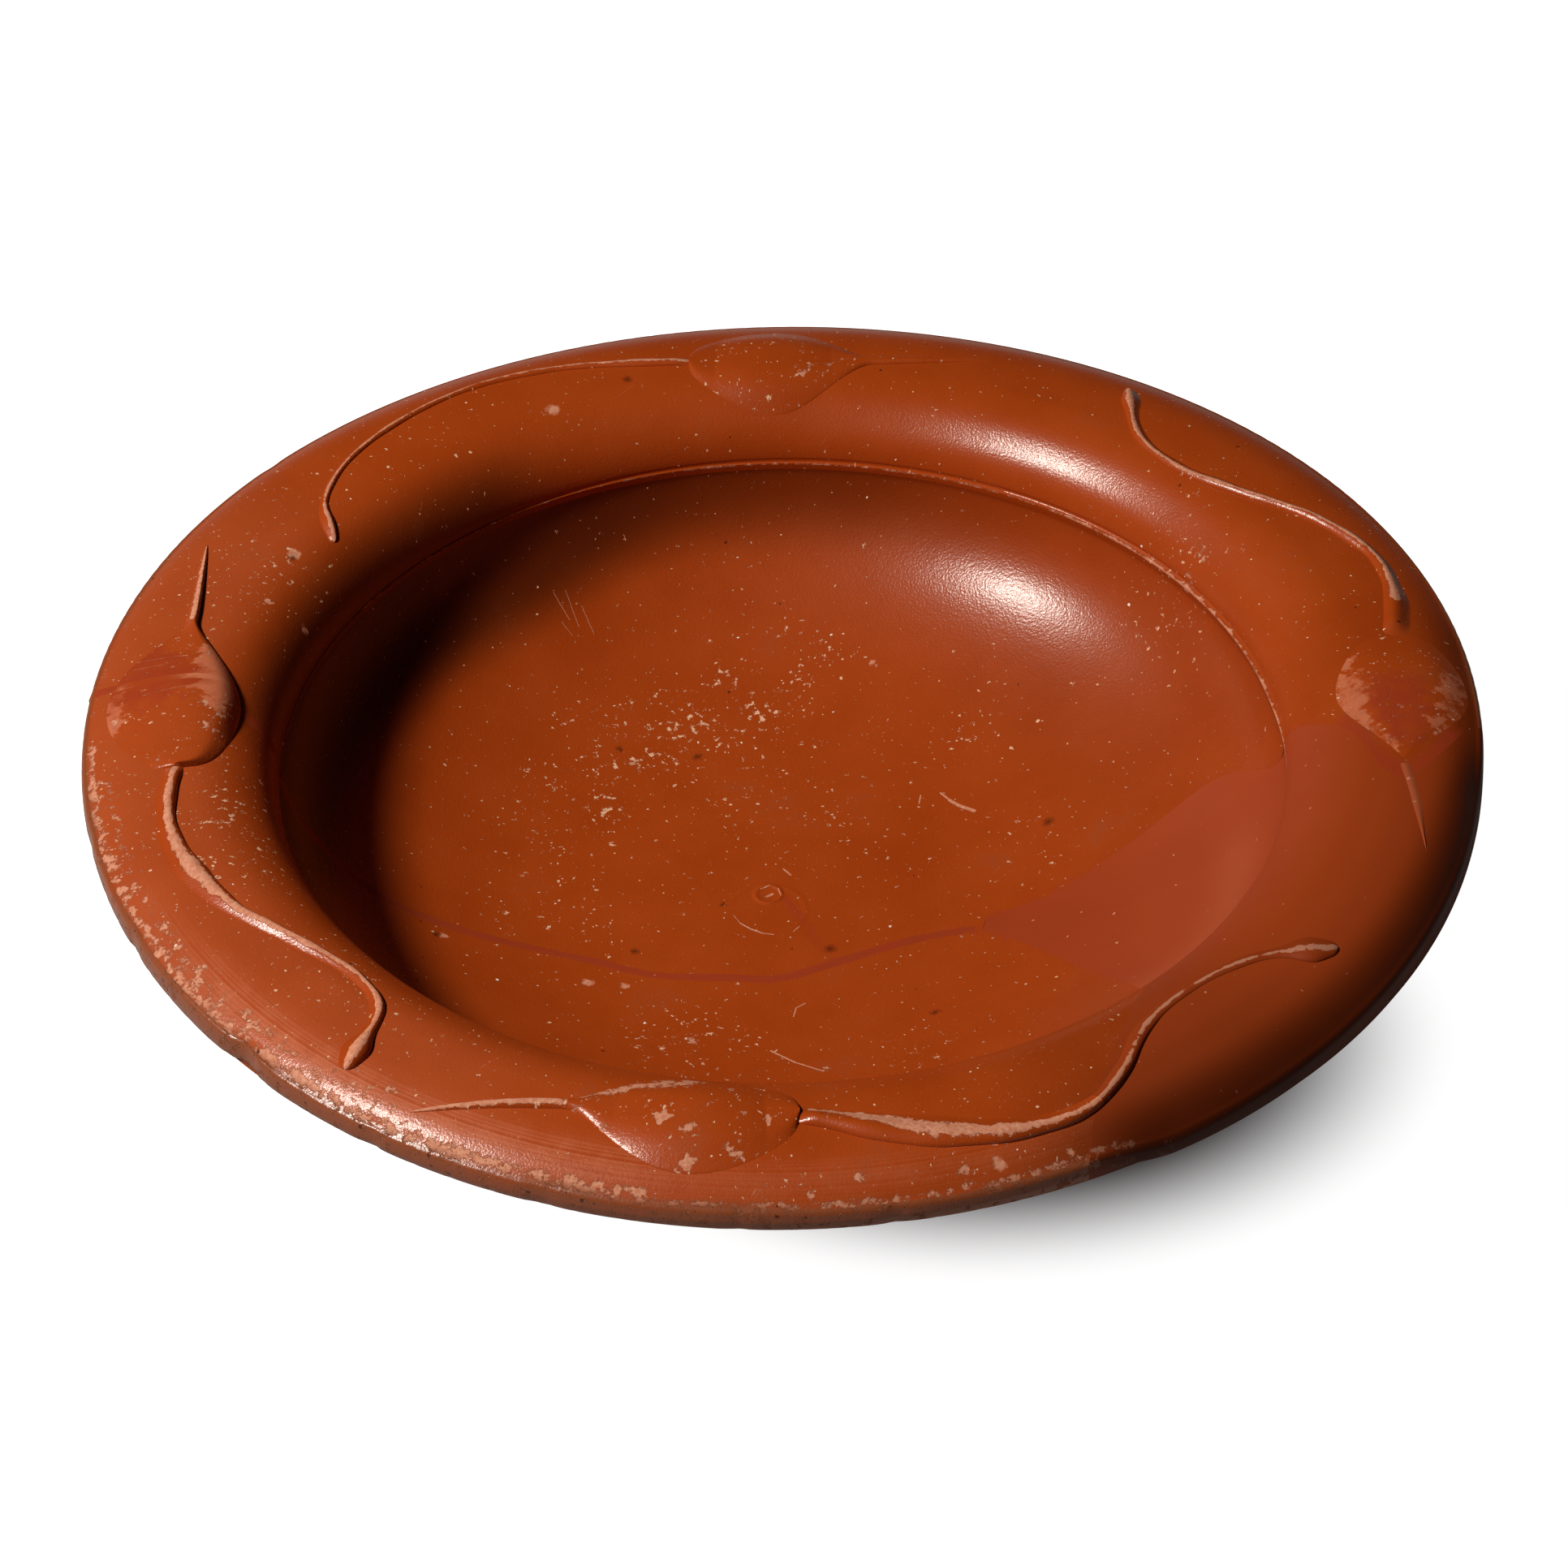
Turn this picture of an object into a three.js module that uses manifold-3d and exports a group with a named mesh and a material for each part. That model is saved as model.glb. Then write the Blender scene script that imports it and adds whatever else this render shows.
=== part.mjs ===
// A red-gloss pottery dish with a broad rolled rim, broken long ago and mended.
// Two sherds of the thrown body meet along one old break, a plaster fill replaces a lost
// wedge, and leaves and stems of trailed slip lie on the rim. Millimetres, +Z up; the
// origin is on the dish's axis, on the surface that the foot ring stands on.

import * as THREE from 'three';
import { mergeVertices } from 'three/addons/utils/BufferGeometryUtils.js';
import Module from 'manifold-3d';

// The thrown body
const MOUTH_DIAMETER = 144.8;
const ROLL_WIDTH = 12.6;
const FLANGE_WIDTH = 15;
const FLOOR_DIAMETER = 44;
const BOWL_DEPTH = 25.7;
const CREST_RISE = 9.75;
const LIP_DROP = 3.4;
const LIP_HEIGHT = 3.5;
const WALL = 5;
const FLOOR_THICKNESS = 5.5;
const FLANGE_THICKNESS = 7;
const UNDERCUT_RADIUS = 7;
const RIM_WARP = 1;

// The foot ring, luted under the base
const FOOT_DIAMETER = 88;
const FOOT_WIDTH = 7;
const FOOT_RECESS = 6;
const FOOT_TAPER = 1;

// The mend
const MEND_WIDTH = 0.9;
const JOIN_GAP = 0.3;
const SEAT_GAP = 0.3;

// The trailed slip
const LEAF_WIDTH = 19.6;
const LEAF_HEIGHT = 1.6;
const TAIL_WIDTH = 1.6;
const TAIL_HEIGHT = 0.8;
const STEM_WIDTH = 2.5;
const STEM_HEIGHT = 1.2;

// Shares that shape the leaves and stems along their length
const BELLY_SKEW = 0.8;
const HEEL_BLUNTNESS = 0.6;
const TIP_SHARPNESS = 0.7;
const TAIL_TAPER = 0.33;
const STEM_THINNING = 0.35;
const BLOB_GAIN = 0.35;
const BLOB_PLACE = 0.95;
const BLOB_SPREAD = 0.04;

// How finely round shapes are cut
const TURN_STEPS = 72;
const WALL_STEPS = 8;
const ROLL_STEPS = 6;
const FLANGE_STEPS = 5;
const UNDERCUT_STEPS = 3;
const FOOT_STEPS = 3;
const EDGE_STEPS = 40;
const LEAF_STEPS = 22;
const LEAF_SLICES = 8;
const TAIL_STEPS = 8;
const STEM_STEPS = 30;
const STEM_SLICES = 4;

const SLIP_COLOUR = 0x9c3f18;
const FILL_COLOUR = 0xa44424;
const MEND_COLOUR = 0x8c3a22;
const TRAIL_COLOUR = 0xb4623e;
const GLOSS_ROUGHNESS = 0.4;
const MATT_ROUGHNESS = 0.5;

const mouthRadius = MOUTH_DIAMETER / 2;
const crestRadius = mouthRadius + ROLL_WIDTH;
const rimRadius = crestRadius + FLANGE_WIDTH;
const farAway = 4 * rimRadius;
const floorRadius = FLOOR_DIAMETER / 2;
const footRadius = FOOT_DIAMETER / 2;

const baseZ = FOOT_RECESS;
const floorZ = baseZ + FLOOR_THICKNESS;
const mouthZ = floorZ + BOWL_DEPTH;
const crestZ = mouthZ + CREST_RISE;
const lipTopZ = crestZ - LIP_DROP;
const lipBottomZ = lipTopZ - LIP_HEIGHT;
const undersideZ = crestZ - FLANGE_THICKNESS;
const undercutZ = undersideZ - UNDERCUT_RADIUS;
const insideSpread = mouthRadius - floorRadius;
const outsideSpread = insideSpread + WALL;

// Places on the dish seen from above are [degrees, across]: across is -1 on the axis,
// 0 at the bowl's mouth and 1 at the lip. Degrees count anticlockwise from the right.
const BREAK_LINE = [
  [174.8, 1.15], [176.1, 0.59], [178.1, 0.15], [181.5, -0.04], [187.5, -0.18], [192, -0.32], [198, -0.46],
  [207, -0.57], [222, -0.65], [245, -0.73], [266, -0.75], [303, -0.77], [333, -0.7], [346, -0.57],
];
const FILL_BACK_EDGE = [
  [349, -0.59], [357, -0.46], [4.5, -0.33], [10, -0.13], [8, -0.07], [0.5, 0.02], [-2.2, 0.14],
  [-4.4, 0.28], [-7.8, 0.4], [-11, 0.5], [-11.9, 0.6], [-9.6, 0.72], [-6.5, 0.82], [-3.1, 0.95], [-1.8, 1.15],
];
const FILL_FRONT_EDGE = [
  [343, -0.585], [340, -0.49], [334, -0.355], [327, -0.16],
  [314, 0], [304.7, 0.3], [296.1, 0.74], [292, 1.15],
];
const FILL_OUTSIDE = [325, 4];

// One leaf and one stem to each quarter of the rim. The heel is where the two meet: the
// leaf runs clockwise from it over its belly and tip to the end of its tail, and the stem
// runs the other way. A tail on the fill is a restored piece with a start of its own.
const MOTIFS = {
  front: {
    heel: [271, 0.45],
    belly: [261.1, 0.49],
    tip: [249.3, 0.56],
    tail: [238.4, 0.86],
    stem: [
      [279.8, 0.61], [289.7, 0.75], [295.6, 0.74], [300, 0.61],
      [304.5, 0.43], [310.5, 0.35], [318.3, 0.43], [324.6, 0.73],
    ],
  },
  left: {
    heel: [187.8, 0.52],
    belly: [178, 0.545],
    tip: [165.1, 0.585],
    tail: [153.9, 0.79],
    stem: [[193.6, 0.61], [200, 0.63], [207.9, 0.55], [215.7, 0.4], [223.9, 0.32], [228.9, 0.43], [231.3, 0.82]],
  },
  back: {
    heel: [98.8, 0.53],
    belly: [91, 0.47],
    tip: [79.3, 0.52],
    tail: [68.4, 0.7],
    stem: [[105.4, 0.61], [112.6, 0.7], [120.3, 0.75], [128.9, 0.7], [136.9, 0.6], [143.3, 0.44], [147.3, 0.22]],
  },
  right: {
    heel: [9.3, 0.64],
    belly: [1.4, 0.595],
    tip: [-10.1, 0.6],
    tail: [-20.1, 0.81],
    restoredTail: [-13.1, 0.645],
    stem: [[14.8, 0.74], [20.8, 0.77], [27.9, 0.65], [36.2, 0.44], [42.5, 0.36], [49.4, 0.43], [55.1, 0.79]],
  },
};

const wasm = await Module();
wasm.setup();

function asSolid(geometry) {
  geometry.deleteAttribute('normal');
  geometry.deleteAttribute('uv');
  const merged = mergeVertices(geometry);
  return new wasm.Manifold(new wasm.Mesh({
    numProp: 3,
    vertProperties: new Float32Array(merged.attributes.position.array),
    triVerts: new Uint32Array(merged.index.array),
  }));
}

function radiusAt(across) {
  return across < 0 ? mouthRadius * (1 + across) : mouthRadius + across * (rimRadius - mouthRadius);
}

function planPoint([degrees, across]) {
  const turn = THREE.MathUtils.degToRad(degrees);
  const radius = radiusAt(across);
  return new THREE.Vector2(radius * Math.cos(turn), radius * Math.sin(turn));
}

// Points spaced evenly along a smooth curve through places seen from above.
function planCurve(places, steps) {
  const corners = places.map(planPoint).map((p) => new THREE.Vector3(p.x, p.y, 0));
  const curve = new THREE.CatmullRomCurve3(corners, false, 'centripetal');
  return curve.getSpacedPoints(steps).map((p) => new THREE.Vector2(p.x, p.y));
}

// Points on an ellipse, between two turns counted from the end of its flat semi-axis.
function ellipseArc({ r, z, across, up, from, to, steps }) {
  const points = [];
  for (let i = 0; i <= steps; i += 1) {
    const turn = from + (to - from) * (i / steps);
    points.push(new THREE.Vector2(r + across * Math.cos(turn), z + up * Math.sin(turn)));
  }
  return points;
}

// Height of the rim's upper face: a quarter ellipse up from the mouth to the crest, then a
// cubic that falls ever faster to the lip.
function rimHeight(radius) {
  if (radius < crestRadius) {
    const inward = Math.min((crestRadius - radius) / ROLL_WIDTH, 1);
    return mouthZ + CREST_RISE * Math.sqrt(1 - inward * inward);
  }
  const outward = (radius - crestRadius) / FLANGE_WIDTH;
  return crestZ - LIP_DROP * outward ** 3;
}

// Height of the base's underside, the same ellipse as the outside of the wall.
function undersideHeight(radius) {
  const outward = Math.max((radius - floorRadius) / outsideSpread, 0);
  return mouthZ - (mouthZ - baseZ) * Math.sqrt(1 - outward * outward);
}

function lathe(profile) {
  const geometry = new THREE.LatheGeometry(profile, TURN_STEPS);
  geometry.rotateX(Math.PI / 2);
  return asSolid(geometry);
}

// The whole dish without its foot, turned from one profile that starts under the base.
function bodySolid() {
  const quarter = Math.PI / 2;
  const undercutTurn = Math.asin((mouthZ - undercutZ) / (mouthZ - baseZ));
  const outside = ellipseArc({
    r: floorRadius,
    z: mouthZ,
    across: outsideSpread,
    up: baseZ - mouthZ,
    from: quarter,
    to: undercutTurn,
    steps: WALL_STEPS,
  });
  const undercut = ellipseArc({
    r: outside.at(-1).x + UNDERCUT_RADIUS,
    z: undercutZ,
    across: -UNDERCUT_RADIUS,
    up: UNDERCUT_RADIUS,
    from: 0,
    to: quarter,
    steps: UNDERCUT_STEPS,
  });
  const flange = [];
  for (let i = 0; i <= FLANGE_STEPS; i += 1) {
    const radius = rimRadius - FLANGE_WIDTH * (i / FLANGE_STEPS);
    flange.push(new THREE.Vector2(radius, rimHeight(radius)));
  }
  const roll = ellipseArc({
    r: crestRadius,
    z: mouthZ,
    across: -ROLL_WIDTH,
    up: CREST_RISE,
    from: quarter,
    to: 0,
    steps: ROLL_STEPS,
  });
  const inside = ellipseArc({
    r: floorRadius,
    z: mouthZ,
    across: insideSpread,
    up: -BOWL_DEPTH,
    from: 0,
    to: quarter,
    steps: WALL_STEPS,
  });
  return lathe([
    new THREE.Vector2(0, baseZ),
    ...outside,
    ...undercut.slice(1),
    new THREE.Vector2(rimRadius, lipBottomZ),
    ...flange,
    ...roll.slice(1),
    ...inside.slice(1),
    new THREE.Vector2(0, floorZ),
  ]);
}

// The foot ring's top follows the underside of the base, one seat gap below it.
function footSolid() {
  const top = [];
  for (let i = 0; i <= FOOT_STEPS; i += 1) {
    const radius = footRadius - FOOT_WIDTH * (i / FOOT_STEPS);
    top.push(new THREE.Vector2(radius, undersideHeight(radius) - SEAT_GAP));
  }
  const bottomInner = new THREE.Vector2(footRadius - FOOT_WIDTH + FOOT_TAPER, 0);
  const bottomOuter = new THREE.Vector2(footRadius - FOOT_TAPER, 0);
  return lathe([bottomInner, bottomOuter, ...top, bottomInner.clone()]);
}

// An upright prism over a closed outline, taller than the dish.
function prism(outline) {
  const depth = 2 * farAway;
  const geometry = new THREE.ExtrudeGeometry(new THREE.Shape(outline), { depth, bevelEnabled: false });
  geometry.translate(0, 0, -farAway);
  return asSolid(geometry);
}

function tangentAt(points, i) {
  const before = points[Math.max(i - 1, 0)];
  const after = points[Math.min(i + 1, points.length - 1)];
  return after.clone().sub(before).normalize();
}

// The points moved sideways, to the left of the way that they run.
function shifted(points, distance) {
  return points.map((p, i) => {
    const along = tangentAt(points, i);
    return new THREE.Vector2(p.x - along.y * distance, p.y + along.x * distance);
  });
}

const breakPoints = planCurve(BREAK_LINE, EDGE_STEPS);
const fillBack = planCurve(FILL_BACK_EDGE, EDGE_STEPS);
const fillFront = planCurve(FILL_FRONT_EDGE, EDGE_STEPS);
const fillOutside = planPoint(FILL_OUTSIDE);

function fillOutline(margin) {
  return [...shifted(fillFront, -margin), fillOutside, ...shifted(fillBack, margin).reverse()];
}

function mendOutline(halfWidth) {
  return [...shifted(breakPoints, -halfWidth), ...shifted(breakPoints, halfWidth).reverse()];
}

// All that lies behind the break line and behind the middle of the fill.
function behindOutline() {
  return [
    ...breakPoints,
    fillOutside,
    new THREE.Vector2(farAway, farAway),
    new THREE.Vector2(-farAway, farAway),
    new THREE.Vector2(-farAway, breakPoints[0].y),
  ];
}

const fillRegion = prism(fillOutline(0));
const fillClearance = prism(fillOutline(JOIN_GAP));
const mendRegion = prism(mendOutline(MEND_WIDTH / 2));
const mendClearance = prism(mendOutline(MEND_WIDTH / 2 + JOIN_GAP));
const behind = prism(behindOutline());

// What the old break, the mend and the plaster fill make of one solid.
function broken(solid) {
  const kept = solid.subtract(fillClearance).subtract(mendClearance);
  return {
    back: kept.intersect(behind),
    front: kept.subtract(behind),
    fill: solid.intersect(fillRegion),
    mend: solid.intersect(mendRegion).subtract(fillClearance),
  };
}

// A ridge of slip trailed over the rim: rings of points along its path, each flat below and
// domed above, closed to a point at both ends.
function trail(path, slices, halfWidthAt, heightAt) {
  const last = path.length - 1;
  const positions = [];
  const place = (x, y, rise) => {
    const radius = Math.hypot(x, y);
    const step = 0.01;
    const slope = (rimHeight(radius + step) - rimHeight(radius - step)) / (2 * step);
    const lift = (SEAT_GAP + rise) / Math.hypot(slope, 1);
    const outward = 1 - (slope * lift) / radius;
    positions.push(x * outward, y * outward, rimHeight(radius) + lift);
  };
  place(path[0].x, path[0].y, 0);
  for (let i = 1; i < last; i += 1) {
    const along = tangentAt(path, i);
    const share = i / last;
    const reach = halfWidthAt(share);
    for (let k = 0; k < 2 * slices; k += 1) {
      const above = k <= slices;
      const side = above ? 1 - (2 * k) / slices : (2 * (k - slices)) / slices - 1;
      const rise = above ? heightAt(share) * Math.sqrt(1 - side * side) : 0;
      place(path[i].x - along.y * side * reach, path[i].y + along.x * side * reach, rise);
    }
  }
  place(path[last].x, path[last].y, 0);

  const ring = 2 * slices;
  const end = positions.length / 3 - 1;
  const faces = [];
  for (let k = 0; k < ring; k += 1) {
    const next = (k + 1) % ring;
    faces.push(0, 1 + next, 1 + k);
    faces.push(end, end - ring + k, end - ring + next);
    for (let i = 0; i < last - 2; i += 1) {
      const near = 1 + i * ring;
      const far = near + ring;
      faces.push(near + k, near + next, far + next);
      faces.push(near + k, far + next, far + k);
    }
  }
  const geometry = new THREE.BufferGeometry();
  geometry.setAttribute('position', new THREE.BufferAttribute(new Float32Array(positions), 3));
  geometry.setIndex(faces);
  return asSolid(geometry);
}

function tailTaper(share) {
  return Math.min(1, (1 - share) / TAIL_TAPER);
}

// A leaf swells from its heel to a belly and narrows to its tip, and a thin tail trails on.
function leafSolid({ heel, belly, tip, tail, restoredTail }) {
  const places = restoredTail ? [heel, belly, tip] : [heel, belly, tip, tail];
  const path = planCurve(places, LEAF_STEPS);
  const tipPoint = planPoint(tip);
  const tipGaps = path.map((p) => p.distanceTo(tipPoint));
  const tipShare = tipGaps.indexOf(Math.min(...tipGaps)) / LEAF_STEPS;
  const swell = (share) => {
    const along = Math.min(share / tipShare, 1);
    return Math.abs(Math.sin(Math.PI * along ** BELLY_SKEW)) ** (HEEL_BLUNTNESS + TIP_SHARPNESS * along);
  };
  const halfWidth = (share) => Math.max(LEAF_WIDTH * swell(share), TAIL_WIDTH * tailTaper(share)) / 2;
  const height = (share) => Math.max(LEAF_HEIGHT * Math.sqrt(swell(share)), TAIL_HEIGHT * tailTaper(share));
  return trail(path, LEAF_SLICES, halfWidth, height);
}

function tailSolid({ restoredTail, tail }) {
  const path = planCurve([restoredTail, tail], TAIL_STEPS);
  const halfWidth = (share) => (TAIL_WIDTH / 2) * tailTaper(share);
  const height = (share) => TAIL_HEIGHT * tailTaper(share);
  return trail(path, STEM_SLICES, halfWidth, height);
}

// A stem starts beside the leaf's heel, thins along its way and ends in a small blob.
function stemSolid({ heel, stem }) {
  const clear = THREE.MathUtils.radToDeg((JOIN_GAP + STEM_WIDTH / 2) / radiusAt(heel[1]));
  const path = planCurve([[heel[0] + clear, heel[1]], ...stem], STEM_STEPS);
  const girth = (share) => {
    const blob = BLOB_GAIN * Math.exp(-(((share - BLOB_PLACE) / BLOB_SPREAD) ** 2));
    return 1 - STEM_THINNING * share * share + blob;
  };
  const halfWidth = (share) => (STEM_WIDTH / 2) * girth(share);
  const height = (share) => STEM_HEIGHT * girth(share);
  return trail(path, STEM_SLICES, halfWidth, height);
}

// The fired rim is a little saddle-shaped: it stands high at both sides and low at the
// front and back. The foot stays flat.
function warp(x, y) {
  const radius = Math.hypot(x, y);
  const outward = Math.max((radius - footRadius) / (rimRadius - footRadius), 0);
  return RIM_WARP * outward * outward * Math.cos(2 * Math.atan2(y, x));
}

const dish = new THREE.Group();

function addPiece(name, solid, color, roughness) {
  const { vertProperties, triVerts } = solid.getMesh();
  const positions = Float32Array.from(vertProperties);
  for (let i = 0; i < positions.length; i += 3) {
    positions[i + 2] += warp(positions[i], positions[i + 1]);
  }
  const geometry = new THREE.BufferGeometry();
  geometry.setAttribute('position', new THREE.BufferAttribute(positions, 3));
  geometry.setIndex(Array.from(triVerts));
  geometry.computeVertexNormals();
  const mesh = new THREE.Mesh(geometry, new THREE.MeshStandardMaterial({ color, roughness, metalness: 0 }));
  mesh.name = name;
  dish.add(mesh);
}

const body = broken(bodySolid());
addPiece('back_sherd', body.back, SLIP_COLOUR, GLOSS_ROUGHNESS);
addPiece('front_sherd', body.front, SLIP_COLOUR, GLOSS_ROUGHNESS);
addPiece('plaster_fill', body.fill, FILL_COLOUR, MATT_ROUGHNESS);
addPiece('break_filler', body.mend, MEND_COLOUR, MATT_ROUGHNESS);

const foot = broken(footSolid());
addPiece('foot_ring_back', foot.back, SLIP_COLOUR, GLOSS_ROUGHNESS);
addPiece('foot_ring_front', foot.front, SLIP_COLOUR, GLOSS_ROUGHNESS);
addPiece('foot_ring_fill', foot.fill, FILL_COLOUR, MATT_ROUGHNESS);
addPiece('foot_ring_filler', foot.mend, MEND_COLOUR, MATT_ROUGHNESS);

// The old break runs through the left leaf, and the fill takes in the end of the front stem.
const leftLeaf = broken(leafSolid(MOTIFS.left));
addPiece('left_leaf_tip', leftLeaf.back, TRAIL_COLOUR, MATT_ROUGHNESS);
addPiece('left_leaf_heel', leftLeaf.front, TRAIL_COLOUR, MATT_ROUGHNESS);
addPiece('left_leaf_filler', leftLeaf.mend, MEND_COLOUR, MATT_ROUGHNESS);
const frontStem = broken(stemSolid(MOTIFS.front));
addPiece('front_stem', frontStem.front, TRAIL_COLOUR, MATT_ROUGHNESS);
addPiece('front_stem_restored', frontStem.fill, FILL_COLOUR, MATT_ROUGHNESS);

for (const side of ['front', 'back', 'right']) {
  addPiece(`${side}_leaf`, leafSolid(MOTIFS[side]), TRAIL_COLOUR, MATT_ROUGHNESS);
}
for (const side of ['left', 'back', 'right']) {
  addPiece(`${side}_stem`, stemSolid(MOTIFS[side]), TRAIL_COLOUR, MATT_ROUGHNESS);
}
addPiece('right_leaf_tail_restored', tailSolid(MOTIFS.right), FILL_COLOUR, MATT_ROUGHNESS);

export default dish;
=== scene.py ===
"""A red-gloss pottery dish with a broad rolled rim, broken long ago and mended.

Two sherds of the thrown body meet along one old break, a plaster fill replaces a lost
wedge, and four leaves with their stems of trailed slip lie on the rim. Lengths are in
millimetres on the dish's own axis until a mesh is made, +Z up, the foot standing on z = 0.
"""
import math

import bmesh
import bpy
import numpy as np
from mathutils import Matrix, Vector


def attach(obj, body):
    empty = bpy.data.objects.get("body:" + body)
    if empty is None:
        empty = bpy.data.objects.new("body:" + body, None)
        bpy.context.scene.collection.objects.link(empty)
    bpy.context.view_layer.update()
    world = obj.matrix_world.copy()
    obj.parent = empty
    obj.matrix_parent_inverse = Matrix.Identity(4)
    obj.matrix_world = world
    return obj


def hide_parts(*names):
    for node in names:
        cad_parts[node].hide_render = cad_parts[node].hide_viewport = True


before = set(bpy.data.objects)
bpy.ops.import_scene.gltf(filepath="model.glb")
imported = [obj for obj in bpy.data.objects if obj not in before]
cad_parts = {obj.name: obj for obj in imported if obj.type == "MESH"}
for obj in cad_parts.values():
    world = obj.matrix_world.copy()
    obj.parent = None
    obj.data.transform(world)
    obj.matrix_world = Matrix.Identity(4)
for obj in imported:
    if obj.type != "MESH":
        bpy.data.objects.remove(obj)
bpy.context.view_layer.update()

MM = 0.001
FAR = 99.0
TINY = 1e-6

# Meshes: in metres, how near points are merged and how short an edge is taken out, and the angle
# in degrees from which an edge is sharp
MERGE_WITHIN = 1e-6
DISSOLVE_WITHIN = 1e-7
SHARP_ANGLE = 50

# The thrown body, radii and heights
FLOOR_R = 22.0
FOOT_R = 44.0
MOUTH_R = 72.4
CREST_R = 85.0
RIM_R = 100.0
BASE_Z = 6.0
FLOOR_Z = 11.5
MOUTH_Z = 37.2
CREST_Z = 46.95
LIP_DROP = 3.4
LIP_LOW_Z = 40.05
LIP_ROUND = 0.8
LIP_BULGE = 0.12
INSIDE_SPREAD = 50.4
OUTSIDE_SPREAD = 55.4
UNDERCUT_R = 7.0
UNDERCUT_START = 76.87
UNDERCUT_Z = 32.95
UNDERCUT_TURN = 0.139
RIM_WARP = 1.0

# The faces of the body's section
UPPER, LIP, LOWER = 0, 1, 2

# The foot ring, luted a little into the base
FOOT_WIDTH = 7.0
FOOT_TAPER = 1.0
FOOT_ROUND = 0.6
FOOT_LUTE = 0.2
FOOT_MEND_TURN = 0.75

# The mend
MEND_HALF_WIDTH = 0.9
MEND_PROUD = 0.02
FILL_TIP_R = 29.85
NOSE_START = 92.0
NOSE_DROP = 2.4
NOSE_POWER = 2.8
NOSE_FADE = 14
CREASE_R = 66.5
CREASE_DEPTH = 0.7
CREASE_SPREAD = 9.0
CREASE_FADE = 12

# The potter's marks: the ledge at the mouth, the facet over it, the pip and its ring on the floor,
# the lip that falls lower at the front, and how far a knock reaches, goes in and goes down
LEDGE_BELOW = 2.2
LEDGE_LEAST = 0.15
LEDGE_MORE = 0.42
GROOVE_DEPTH = 0.35
FACET_R = 75.5
FACET_SPREAD = 2.2
FACET_DEPTH = 0.3
PIP = (-2.4, 0.6)
PIP_R = 1.9
PIP_SPREAD = 0.32
PIP_RISE = 0.17
PIP_HOLLOW = 0.1
RING = (-2.6, -2.9)
RING_R = 5.6
RING_SPREAD = 0.4
RING_RISE = 0.05
FRONT_NOSE_START = 94.5
FRONT_NOSE_DROP = 0.8
KNOCK_REACH = 2.2
KNOCK_IN = 0.8
KNOCK_DOWN = 0.5

# The trailed slip
LEAF_WIDTH = 19.6
LEAF_HEIGHT = 1.6
TAIL_WIDTH = 2.0
TAIL_HEIGHT = 0.8
STEM_HEIGHT = 1.2
STEM_SPREAD = 1.6
STEM_CLEAR = -1.2
STEM_CREST = 0.45
TRAIL_ROOT = 0.35
TRAIL_SETTLE = 0.06
TRAIL_ACROSS = 37
LEAF_STEPS = 240
STEM_STEPS = 300
TAIL_STEPS = 60
BREAK_IN_LEAF = 85 / LEAF_STEPS
MEND_IN_LEAF = 3 / LEAF_STEPS
WHOLE = (0.0, 1.0)

# Where the underside and the trails lie on the face laid flat, in metres, clear of the upper face
UNDER_FLAT = 0.3
TRAIL_FLAT = np.array([0.5, 0.5, 0.0])

# Places on the plan are [degrees, across]: degrees count anticlockwise from the right, and
# across is -1 on the axis, 0 at the mouth and 1 at the lip.
EDGE_COUNT = 3000
BREAK_BEYOND_TIP = 60
BREAK_LINE = [
    [174.8, 1.15], [176.1, 0.59], [178.1, 0.15], [181.5, -0.04], [187.5, -0.18], [192, -0.32],
    [198, -0.46], [207, -0.57], [222, -0.65], [245, -0.73], [266, -0.75], [303, -0.77],
    [333, -0.7], [346, -0.57],
]
FILL_BACK_EDGE = [
    [349, -0.59], [357, -0.46], [4.5, -0.33], [10, -0.13], [8, -0.07], [0.5, 0.02], [-2.2, 0.14],
    [-4.4, 0.28], [-7.8, 0.4], [-11, 0.5], [-11.9, 0.6], [-9.6, 0.72], [-6.5, 0.82],
    [-3.1, 0.95], [-1.8, 1.15],
]
FILL_FRONT_EDGE = [
    [343, -0.585], [340, -0.49], [334, -0.355], [327, -0.16],
    [314, 0], [304.7, 0.3], [296.1, 0.74], [292, 1.15],
]
RIGHT_TAIL = [[-10.0, 0.6], [-13.8, 0.675], [-20.6, 0.83]]
MOTIFS = {
    "front": {
        "leaf": [[271, 0.45], [261.1, 0.49], [249.3, 0.56], [238.4, 0.86]],
        "stem": [[279.8, 0.61], [289.7, 0.75], [295.6, 0.74], [300, 0.61],
                 [304.5, 0.43], [310.5, 0.35], [318.3, 0.43], [324.6, 0.73]],
    },
    "left": {
        "leaf": [[187.8, 0.52], [178, 0.545], [165.1, 0.585], [153.9, 0.79]],
        "stem": [[193.6, 0.61], [200, 0.63], [207.9, 0.55], [215.7, 0.4],
                 [223.9, 0.32], [228.9, 0.43], [231.3, 0.82]],
    },
    "back": {
        "leaf": [[98.8, 0.53], [91, 0.47], [79.3, 0.52], [68.4, 0.7]],
        "stem": [[105.4, 0.61], [112.6, 0.7], [120.3, 0.75], [128.9, 0.7],
                 [136.9, 0.6], [143.3, 0.44], [147.3, 0.22]],
    },
    "right": {
        "leaf": [[9.3, 0.64], [1.4, 0.595], [-10.1, 0.6]],
        "stem": [[14.8, 0.74], [20.8, 0.77], [27.9, 0.65], [36.2, 0.44],
                 [42.5, 0.36], [49.4, 0.43], [55.1, 0.79]],
    },
}

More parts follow.
